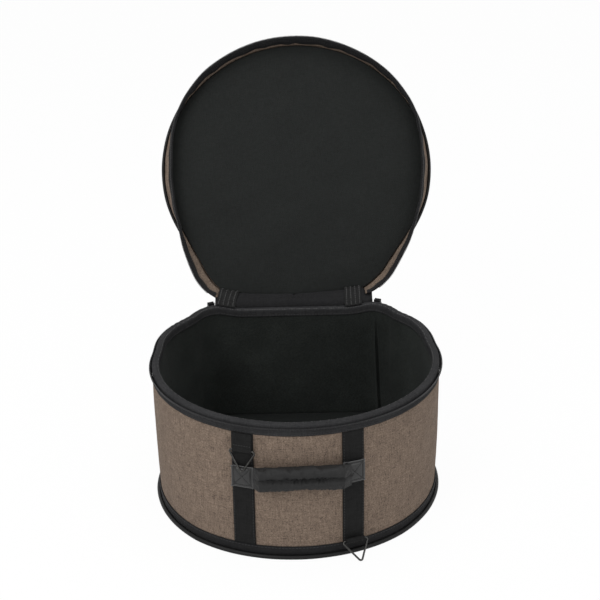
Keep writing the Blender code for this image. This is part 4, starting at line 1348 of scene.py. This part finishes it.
def grip_grid():
    """The sleeve before it swells: a flat tube of two low rolls, closed down at both ends."""
    around = circle(GRIP_AROUND)
    x = GRIP_LEFT + (GRIP_RIGHT - GRIP_LEFT) * (1 - np.cos(np.linspace(0, pi, GRIP_ALONG))) / 2
    x = 0.35 * x + 0.65 * np.linspace(GRIP_LEFT, GRIP_RIGHT, GRIP_ALONG)
    end = grip_end(x)[:, None]
    up = np.sin(around) * (1 + 0.18 * np.cos(2 * around) ** 2 * np.abs(np.cos(around)))
    roll = np.sqrt(np.clip(1 - (2 * np.abs(np.clip(up, -1, 1)) - 1) ** 2, 0, 1))
    front = np.clip(np.cos(around) * 4, -1, 1)
    depth = np.where(front > 0, front * (0.2 + 0.95 * roll), front * (0.35 + 0.35 * np.abs(np.cos(around))))
    thick = GRIP_THICK * (1 - 0.8 * end)
    out = HANDLE_BOW + GRIP_SET_OUT + thick * depth - 0.0045 * end
    rise = GRIP_RISE * np.clip(up, -1, 1) * (1 - 0.04 * end)
    grid = np.stack([np.broadcast_to(x[:, None], out.shape), HANDLE_AXIS[Y] - out,
                     GRIP_LEVEL + rise + GRIP_SLOPE * x[:, None]], axis=2)
    return grid, x, around


def grip_pins(x, around):
    """Both seams hold their points, and so do the sewn ends."""
    front = np.exp(-((np.minimum(around, 2 * pi - around)) / 0.12) ** 2)
    foot = np.exp(-((around - 1.5 * pi) / 0.1) ** 2)
    back = np.exp(-((around - pi) / 0.9) ** 2)
    seams = np.clip(front + foot + back, 0, 1)
    return np.clip(seams[None, :] + grip_end(x)[:, None] ** 2, 0, 1).ravel()


def gather(piece):
    """Small gathers that the thread pulls into the cloth beside the front seam and along the foot."""
    points = vertex_places(piece.data)
    x = points[:, X]
    rise = (points[:, Z] - GRIP_LEVEL - GRIP_SLOPE * x) / GRIP_RISE
    front = smooth_step(HANDLE_AXIS[Y] - HANDLE_BOW - GRIP_SET_OUT - points[:, Y], -0.001, 0.002)
    strength = np.exp(-((x - 0.004) / 0.04) ** 4) * front
    beside = np.exp(-((np.abs(rise) - 0.1) / 0.16) ** 2)
    foot = np.exp(-((rise + 0.95) / 0.14) ** 2)
    wave = np.sin(x * 2 * pi / GATHER_STEP + 2.4 * np.sin(x * 210) + 1.5 * np.sign(rise))
    pleat = np.sin(x * 2 * pi / PLEAT_STEP + 1.9 * np.sin(x * 130) + 0.4 * rise)
    points[:, Y] -= strength * (GATHER_DEPTH * beside + FOOT_GATHER * foot) * wave
    points[:, Y] -= PLEAT_DEPTH * strength * np.clip(1 - np.abs(rise), 0, 1) * pleat
    points[:, Z] -= FOOT_RIPPLE * strength * foot * wave
    points[:, Y] -= GRIP_UNEVEN * uneven(points, 48, 0.035, 0.007) * front * (1 - grip_end(x))
    move_vertices(piece.data, points)


def make_grip():
    grid, x, around = grip_grid()
    grip = skin("grip_sleeve", grid, grip_cloth)
    blown_up(grip, grip_pins(x, around), pressure=5.0, spare=0.05, most=0.0022)
    subdivided(grip)
    gather(grip)
    dress(grip, "handle", "grip_cover", "grip_core", slot="grip", fill=0.7)


make_grip()

# %% [markdown]
# ## Wire rings and their tabs
#
# Each ring is a triangle of bent wire that hangs from a loop of webbing. The wire is a tube along
# three straight sides with tight bends between them. The webbing doubles round the ring's top bar
# and is sewn together above it, or below it for the ring at the foot of the bag.

# %% Rings
RING_WIDTH = 0.037
RING_HEIGHT = 0.031
WIRE = 0.0012
WIRE_SIDES = 16
RING_BEND = 0.0025
UPPER_LEAN = radians(10)
LOWER_LEAN = radians(47)


def ring_line():
    """Centre line of the wire, in the ring's own plane: across and down from its bar."""
    half = RING_WIDTH / 2 - WIRE
    drop = RING_HEIGHT - 2 * WIRE
    tips = [np.array(tip) for tip in ((-half, 0.0), (half, 0.0), (0.0, drop))]
    points = []
    for index, tip in enumerate(tips):
        before = tips[index - 1] - tip
        after = tips[(index + 1) % 3] - tip
        before, after = unit(before), unit(after)
        half_angle = np.arccos(np.clip(before @ after, -1, 1)) / 2
        inward = unit(before + after)
        centre = tip + inward * RING_BEND / np.sin(half_angle)
        first = tip + before * RING_BEND / np.tan(half_angle) - centre
        last = tip + after * RING_BEND / np.tan(half_angle) - centre
        for share in np.linspace(0, 1, 10):
            ray = first * (1 - share) + last * share
            points.append(centre + unit(ray) * RING_BEND)
    return np.array(points)


def hanging_frame(joint, lean):
    """Place, bar direction, outward and down direction of a ring on its joint."""
    origin = np.array(JOINTS[joint]["pos_m"])
    bar = unit(-np.array(JOINTS[joint]["axis"]))
    outward = np.array([bar[1], -bar[0], 0])
    down = outward * sin(lean) - np.array([0, 0, cos(lean)])
    return origin, bar, outward, down


def make_ring(node, lean_at_rest):
    origin, bar, _, down = hanging_frame(node + "_swing", lean_at_rest)
    line = ring_line()
    centre = origin + line[:, :1] * bar + line[:, 1:] * down
    flat = np.cross(bar, down)
    along = np.roll(centre, -1, axis=0) - np.roll(centre, 1, axis=0)
    along /= np.linalg.norm(along, axis=1)[:, None]
    side = np.cross(along, flat)
    around = circle(WIRE_SIDES)
    grid = centre[:, None] + WIRE * (np.cos(around)[None, :, None] * side[:, None]
                                     + np.sin(around)[None, :, None] * flat)
    ring = skin(node + "_wire", grid, plated_wire, hoop=True)
    dress(ring, node, node, slot="ring_wire")


make_ring("ring_upper", UPPER_LEAN)
make_ring("ring_lower", LOWER_LEAN)

# %% Webbing tabs round the rings' bars
TAB_THICK = 0.0011
TAB_HALF = 0.012
TAB_PLAY = 0.0003
TAB_SHUT = TAB_THICK / 2 + 0.00005
TAB_NECK = 2.1


def make_tab(word, root_out, root_height, stitch_share):
    """Webbing up one side of the bar, over it and down the other, back to its root."""
    node = "ring_tab_" + word
    origin, bar, outward, _ = hanging_frame("ring_" + word + "_swing", 0)
    middle_out = np.hypot(origin[0], origin[1]) - FRONT_RADIUS
    eye = WIRE + TAB_PLAY + TAB_THICK / 2
    root = np.array([root_out, root_height])
    bar_at = np.array([middle_out, origin[Z]])
    toward = unit(root - bar_at)
    across = np.array([-toward[1], toward[0]])
    start = np.arcsin(min(TAB_SHUT / eye, 1)) + radians(35)
    path = [root + across * TAB_SHUT, bar_at + toward * eye * TAB_NECK + across * TAB_SHUT]
    for angle in np.linspace(start, 2 * pi - start, 15):
        path.append(bar_at + eye * (toward * cos(angle) + across * sin(angle)))
    path += [bar_at + toward * eye * TAB_NECK - across * TAB_SHUT, root - across * TAB_SHUT]
    out, height = thickened(smooth_path(path, 70), TAB_THICK * 0.94)
    rows = []
    for reach in np.linspace(-TAB_HALF, TAB_HALF, 13):
        foot = origin * (1, 1, 0) + bar * reach
        rows.append(foot + (out - middle_out)[:, None] * outward + height[:, None] * np.array([0, 0, 1]))
    tab = skin(node + "_webbing", np.stack(rows), webbing_cloth)
    dress(tab, "bag_body", node, slot="webbing")
    above = across * np.sign(across[0]) * (TAB_SHUT + TAB_THICK / 2 + 0.0001)
    seam = bar_at + (root - bar_at) * stitch_share + above
    reach = np.linspace(-TAB_HALF + 0.002, TAB_HALF - 0.002, 12)
    points = origin * (1, 1, 0) + reach[:, None] * bar + (seam[0] - middle_out) * outward
    points = points + np.array([0, 0, seam[1]])
    lines = [(points, np.tile(outward, (12, 1)), False)]
    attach(beads(node + "_stitches", lines, TAB_STITCH, thread_finish), "bag_body")


make_tab("upper", 0.0032, STRAP_TOP, 0.3)
make_tab("lower", 0.0027, 0.0125, 0.42)

# %% [markdown]
# ## The lid
#
# The lid is made shut, where it lines up with the tub, and then turned open about the hinge. It has a
# brown top with padding under a black lining, and a band of single brown cloth round its edge. With
# nothing behind it the band is floppy: it leans in at the sides and out at the front and the
# corners. A short table of places and leans follows the photograph, and the zip goes with the band.

# %% Lid sizes and the floppy band
LID_TOP = RIM + 0.031
LID_LINING = LID_TOP - 0.0076
BAND_THICK = 0.0012
BAND_FOOT = RIM + 0.003
BAND_TOP = LID_TOP - 0.0015
BAND_END = corner_turn(radians(14))
LID_TAPE_END = corner_turn(radians(17))
RIGHT_SPARE = 0.007
LID_TEETH_END = corner_turn(radians(31))
LID_TEETH = BODY_TEETH + 0.0048
BAND_LEANS = (
    (-BAND_END, 0.0125), (-0.45, 0.0145), (-0.42, 0.013), (-0.39, 0.008), (-0.355, -0.003),
    (-0.31, -0.0105), (-0.26, -0.0115), (-0.21, -0.004), (-0.13, 0.0055), (-0.05, 0.0062), (0.03, 0.006),
    (0.09, 0.004), (0.14, 0.003), (0.20, -0.001), (0.26, -0.0095), (0.31, -0.0095), (0.355, -0.002),
    (0.39, 0.007), (0.42, 0.0105), (0.45, 0.0115), (BAND_END, 0.010),
)


def band_lean(turn, height):
    """How far the band leans out, growing towards its free edge."""
    at_edge = eased(turn, BAND_LEANS)
    share = np.clip((BAND_TOP - height) / (BAND_TOP - BAND_FOOT), 0, 1.3)
    scallop = 0.0007 * np.sin(turn * 2 * pi / 0.034 + 1.5 * np.sin(turn * 31))
    return at_edge[:, None] * share ** 1.2 + scallop[:, None] * np.sin(pi * np.clip(share, 0, 1))


def make_lid_band():
    turn = along_strip(BAND_END, 560, RIGHT_SPARE)
    out, height = hem(turn, -BAND_THICK, 0, BAND_FOOT, BAND_TOP, 18)
    band = skin("lid_band_cloth", lid_skin(turn, out + band_lean(turn, height), height), heather_cloth)
    dress(band, "lid", "lid_band", slot="brown_fabric")


# %% Lid panel, lining and piping
PANEL_CROWN = 0.003
LINING_CROWN = 0.0028


def crowned(rise, base, seed, amount):
    """Height of a padded panel: pulled in at its seam, full in the middle."""
    def height(flat, share):
        points = np.column_stack([flat, np.zeros(len(flat))])
        full = 1 - np.clip(share, 0, 1) ** 10
        return base + rise * full + amount * uneven(points, seed, 0.13, 0.025) * full
    return height


def make_lid_panel():
    out = 0.0008 + lid_slack(all_round(300))
    grid = panel_grid(out, ring_shares(30), crowned(PANEL_CROWN, LID_TOP, 53, 0.0006),
                      level(LID_TOP - 0.0013), places=300)
    panel = skin("lid_panel_cloth", opened(drifted(grid)), heather_cloth)
    panel_uv(panel, grid)
    dress(panel, "lid", "lid_panel", slot="brown_fabric")


def panel_uv(piece, grid):
    """Puts the panel's ground plan, from before it was turned open, in its UV map."""
    flat = grid.reshape(-1, 3)
    mesh = piece.data
    corner = np.zeros(len(mesh.loops), int)
    mesh.loops.foreach_get("vertex_index", corner)
    mesh.uv_layers["Metres"].data.foreach_set("uv", flat[corner][:, :2].astype(np.float32).ravel())


def make_lid_lining():
    turn = all_round(320)
    # Along the hinge the lining reaches 0.9 mm further out, so that its black edge covers the panel's brown
    # underside and paints the shadow there.
    shadow_edge_at_hinge = 1 - smooth_step(BACK_TURN - np.abs(turn), BACK_HALF, BACK_HALF + 0.02)
    out = lid_slack(turn) - 0.0018 + 0.0009 * shadow_edge_at_hinge
    grid = panel_grid(out, ring_shares(34), level(LID_TOP - 0.0016),
                      crowned(-LINING_CROWN, LID_LINING, 59, 0.0009), places=320)
    lining = skin("lid_lining_cloth", opened(drifted(grid)), lining_cloth)
    panel_uv(lining, grid)
    dress(lining, "lid", "lid_lining", "lid_foam", slot="lining", fill=0.6)


def make_lid_piping():
    piping = make_piping("lid_piping_cord", 0.0020, LID_TOP - 0.0022, 0.0022, lid_skin)
    dress(piping, "lid", "lid_piping", slot="piping")


make_lid_panel()
make_lid_lining()
make_lid_band()
make_lid_piping()


# %% Lid half of the zip
INNER_BROWN = (
    (-0.5, 0.0155), (-0.44, 0.0155), (-0.38, 0.0135), (-0.33, 0.008), (-0.20, 0.0085), (-0.08, 0.0070),
    (0.02, 0.0046), (0.12, 0.0070), (0.30, 0.0085), (0.36, 0.0125), (0.42, 0.0155), (0.5, 0.0155),
)
TAPE_FOLD = BAND_FOOT - 0.0004
TAPE_SEAMS = ((LID_TEETH + 0.0075, 0.0016, 1), (LID_TEETH + 0.0052, 0.0016, 1),
              (LID_TEETH + 0.0058, -0.0024, -1), (LID_TEETH + 0.0095, -0.0024, -1))


def tape_section(brown):
    """Zip tape folded over the band's free edge, leaving that much brown inside, and out to the teeth."""
    inner_top = LID_LINING - brown
    path = [(-0.0019, inner_top), (-0.0019, (inner_top + TAPE_FOLD) / 2), (-0.0018, BAND_FOOT + 0.0006),
            (-0.0006, TAPE_FOLD), (0.0009, BAND_FOOT + 0.0007), (0.0012, LID_TEETH + 0.0040),
            (0.0011, LID_TEETH + 0.0058), (0.0010, LID_TEETH + 0.0088)]
    return thickened(smooth_path(path, 36), TAPE_THICK)


def make_lid_zip():
    turn = along_strip(LID_TAPE_END, 560, RIGHT_SPARE)
    brown = np.interp(turn, *np.transpose(INNER_BROWN))
    sections = [tape_section(share + 0.0007 * np.sin(spot * 2 * pi / 0.021 + 2 * np.sin(spot * 37)))
                for share, spot in zip(brown, turn)]
    out = np.stack([section[0] for section in sections])
    height = np.stack([section[1] for section in sections])
    grid = lid_skin(turn, out + band_lean(turn, height), height)
    tape = skin("lid_zip_tape_cloth", grid, thin_tape_cloth)
    dress(tape, "lid", "lid_zip_tape", slot="zip_tape")
    turn = along_strip(LID_TEETH_END, 700)
    coil_height = TAPE_FOLD - 0.0003
    out = 0.0009 + band_lean(turn, np.full((len(turn), 1), coil_height))[:, 0]
    coil = beads("lid_zip_coil", [lid_line(turn, out, coil_height)], LID_COIL, nylon)
    dress(coil, "lid", "lid_zip_teeth", slot="zip_teeth")
    turn = along_strip(LID_TAPE_END - 0.002, 500, RIGHT_SPARE)
    seams = []
    for at, off, sense in TAPE_SEAMS:
        out = off + band_lean(turn, np.full((len(turn), 1), at))[:, 0]
        seams.append(lid_line(turn, out, at, sense))
    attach(beads("lid_zip_stitches", seams, TAPE_STITCH, thread_finish), "lid")


make_lid_zip()

# %% [markdown]
# ## The cloth hinge
#
# A panel of black cloth joins the lid to the tub. It is sewn to the back of the wall, comes up over
# the rim, runs back to the foot of the lid and up behind its padding. Two short straps of ribbed
# webbing strengthen its ends on the inside.

# %% Hinge panel and straps
PANEL_LEFT = -0.1092
PANEL_RIGHT = 0.1082
PANEL_THICK = 0.001
HINGE_RIPPLES = (0.09, 0.047, 0.029, 0.021)
HINGE_RIPPLE = 0.00035
HINGE_STRAPS = (("left", -0.0885, 0.0132, -0.006), ("right", 0.0815, 0.0118, 0.0))
HINGE_STRAP_THICK = 0.0012
RIB_HEIGHT = 0.0008
LID_FOOT = RIM + 0.014


def past_flat(x):
    """How far a place lies past the flat back, and the plan's depth there."""
    past = np.maximum(np.abs(x) - BACK_HALF, 0)
    return past, BACK_DEPTH - CORNER_RADIUS + np.sqrt(CORNER_RADIUS ** 2 - past ** 2)


def from_middle(x):
    """Distance along the plan's edge from the middle of the back."""
    return np.minimum(np.abs(x), BACK_HALF) + CORNER_RADIUS * np.arcsin(past_flat(x)[0] / CORNER_RADIUS)


BACK_PLACES = np.linspace(-0.12, 0.12, 121)
BACK_PLACE_TURNS = np.sign(BACK_PLACES) * (BACK_TURN - from_middle(BACK_PLACES))
LID_BACK = past_flat(BACK_PLACES)[1] + lid_slack(BACK_PLACE_TURNS)


def lid_back(x):
    """Depth of the closed lid's back edge."""
    return np.interp(x, BACK_PLACES, LID_BACK)


def less_settled(x, y):
    """What the rim has settled less at x than along the flat back, fading out from tub to hinge."""
    return BACK_SETTLES * (1 - settle_share(from_middle(x))) * (1 - smooth_step(y, BACK_DEPTH, HINGE[Y]))


def rest_place(y, z):
    """Where a place of the closed lid, given by depth and height, lies when the lid is open."""
    return opened(np.array([0, y, z]))[1:]


def slanted(x, y, slant, last):
    """Where a strip at x runs when it starts aside by slant on the tub and ends straight on the lid."""
    return x + slant * (1 - smooth_step(y, BACK_DEPTH - 0.004, last))


def extruded(path_at, thickness, xs, wave, slant=0.0):
    """A strip across the hinge: its section at x goes from tub to lid, and its width runs along X."""
    rows = []
    for index, x in enumerate(xs):
        path = path_at(x)
        y, z = thickened(path, thickness)
        middle = np.concatenate([path, path[-1:], path[::-1], path[:1]])
        thin = 0.45 if index in (0, len(xs) - 1) else 1.0
        y = middle[:, 0] + (y - middle[:, 0]) * thin
        z = middle[:, 1] + (z - middle[:, 1]) * thin
        rows.append(np.stack([slanted(x, y, slant, path[:, 0].max()), y, z + wave(x, y)], axis=1))
    return np.stack(rows)


def panel_path(x):
    """Down behind the wall, but only to the rim past the end of the zip, and up behind the band."""
    past, depth = past_flat(x)
    behind = smooth_step(past, 0.001, 0.006)
    tuck = rest_place(lid_back(x) - 0.0003 + 0.0022 * behind, LID_TOP - 0.0022)
    foot = rest_place(lid_back(x) - 0.0004 + 0.0078 * behind, LID_FOOT)
    upper = [(HINGE[Y] + 0.001, HINGE[Z] - 0.0012), (foot[0] - 0.006, foot[1] - 0.0012), foot, tuck]
    sewn = np.array([(0.0009, -0.018), (0.0009, -0.011), (0.0012, -0.006), (0.0036, -0.0015)])
    short = np.array([(0.0012, -0.0022), (0.0015, -0.0016), (0.0022, -0.0009), (0.0036, -0.0002)])
    lower = sewn + (short - sewn) * smooth_step(past, 0.0095, 0.0115)
    return smooth_path([*(lower + (depth, RIM)), *upper], 60)


def make_hinge_panel():
    xs = np.linspace(PANEL_LEFT, PANEL_RIGHT, 112)
    phases = np.random.default_rng(71).uniform(0, 2 * pi, len(HINGE_RIPPLES))
    lid_foot = rest_place(BACK_DEPTH, LID_FOOT)[0]

    def wave(x, y):
        from_tub = smooth_step(y, BACK_DEPTH + 0.002, HINGE[Y] + 0.002)
        free = from_tub * (1 - smooth_step(y, lid_foot - 0.002, lid_foot + 0.006))
        ripple = sum(np.sin(x * 2 * pi / size + phase) for size, phase in zip(HINGE_RIPPLES, phases))
        return HINGE_RIPPLE * free * ripple

    panel = skin("hinge_panel_cloth", extruded(panel_path, PANEL_THICK, xs, wave), hinge_cloth)
    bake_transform(panel)
    dress(panel, "bag_body", "hinge_panel_body", "hinge_panel_lid", slot="binding")
    reaches = [np.linalg.norm(np.diff(panel_path(x), axis=0), axis=1).sum() for x in xs]


def strap_path(x):
    """From inside the rim over the hinge to the lid's lining."""
    foot = rest_place(lid_back(x) - 0.0025, LID_FOOT)
    top = rest_place(lid_back(x) - 0.0035, LID_LINING - 0.002)
    return smooth_path([(BACK_DEPTH - 0.0078, RIM - 0.0048), (BACK_DEPTH - 0.004, RIM - 0.0044),
                        (BACK_DEPTH + 0.001, RIM - 0.0036), (HINGE[Y] - 0.0005, HINGE[Z] - 0.0006),
                        (foot[0] - 0.004, foot[1] + 0.0006), foot, top], 40)


def make_hinge_straps():
    for word, middle, half, slant in HINGE_STRAPS:
        xs = np.linspace(middle - half, middle + half, 57)

        def ribs(x, y):
            share = (x - middle) / half
            rib = RIB_HEIGHT * (0.5 - 0.5 * np.cos((share + 1) * 4 * pi)) ** 0.7
            return rib + less_settled(x + slant, y)

        grid = extruded(strap_path, HINGE_STRAP_THICK, xs, ribs, slant)
        strap = skin("hinge_strap_" + word + "_webbing", grid, ribbed_cloth)
        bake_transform(strap)
        dress(strap, "bag_body", "hinge_strap_body_" + word, "hinge_strap_lid_" + word, slot="webbing")
        # The pale seams lie on the four rib crests: real stitching that also paints the highlight on the
        # ribs.
        seams = []
        for share in (-0.75, -0.25, 0.25, 0.75):
            x = middle + half * share
            y, z = strap_path(x).T
            line = np.column_stack([slanted(x, y, slant, y.max()), y, z + ribs(x, y) + 0.0008])
            seams.append((line[2:-2], np.tile((0.0, -0.4, 0.9), (len(line) - 4, 1)), False))
        stitches = beads("hinge_strap_" + word + "_stitches", seams, HINGE_STITCH, pale_thread_and_highlight)
        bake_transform(stitches)
        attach(stitches, "bag_body")


make_hinge_panel()
make_hinge_straps()

# %% Count the pieces and their faces
bpy.context.view_layer.update()
face_counts = {name: len(piece.data.polygons) for name, piece in PIECES.items()}
largest = sorted(face_counts.items(), key=lambda item: -item[1])[:4]
print(len(face_counts), "pieces,", sum(face_counts.values()), "faces; the largest:", largest)
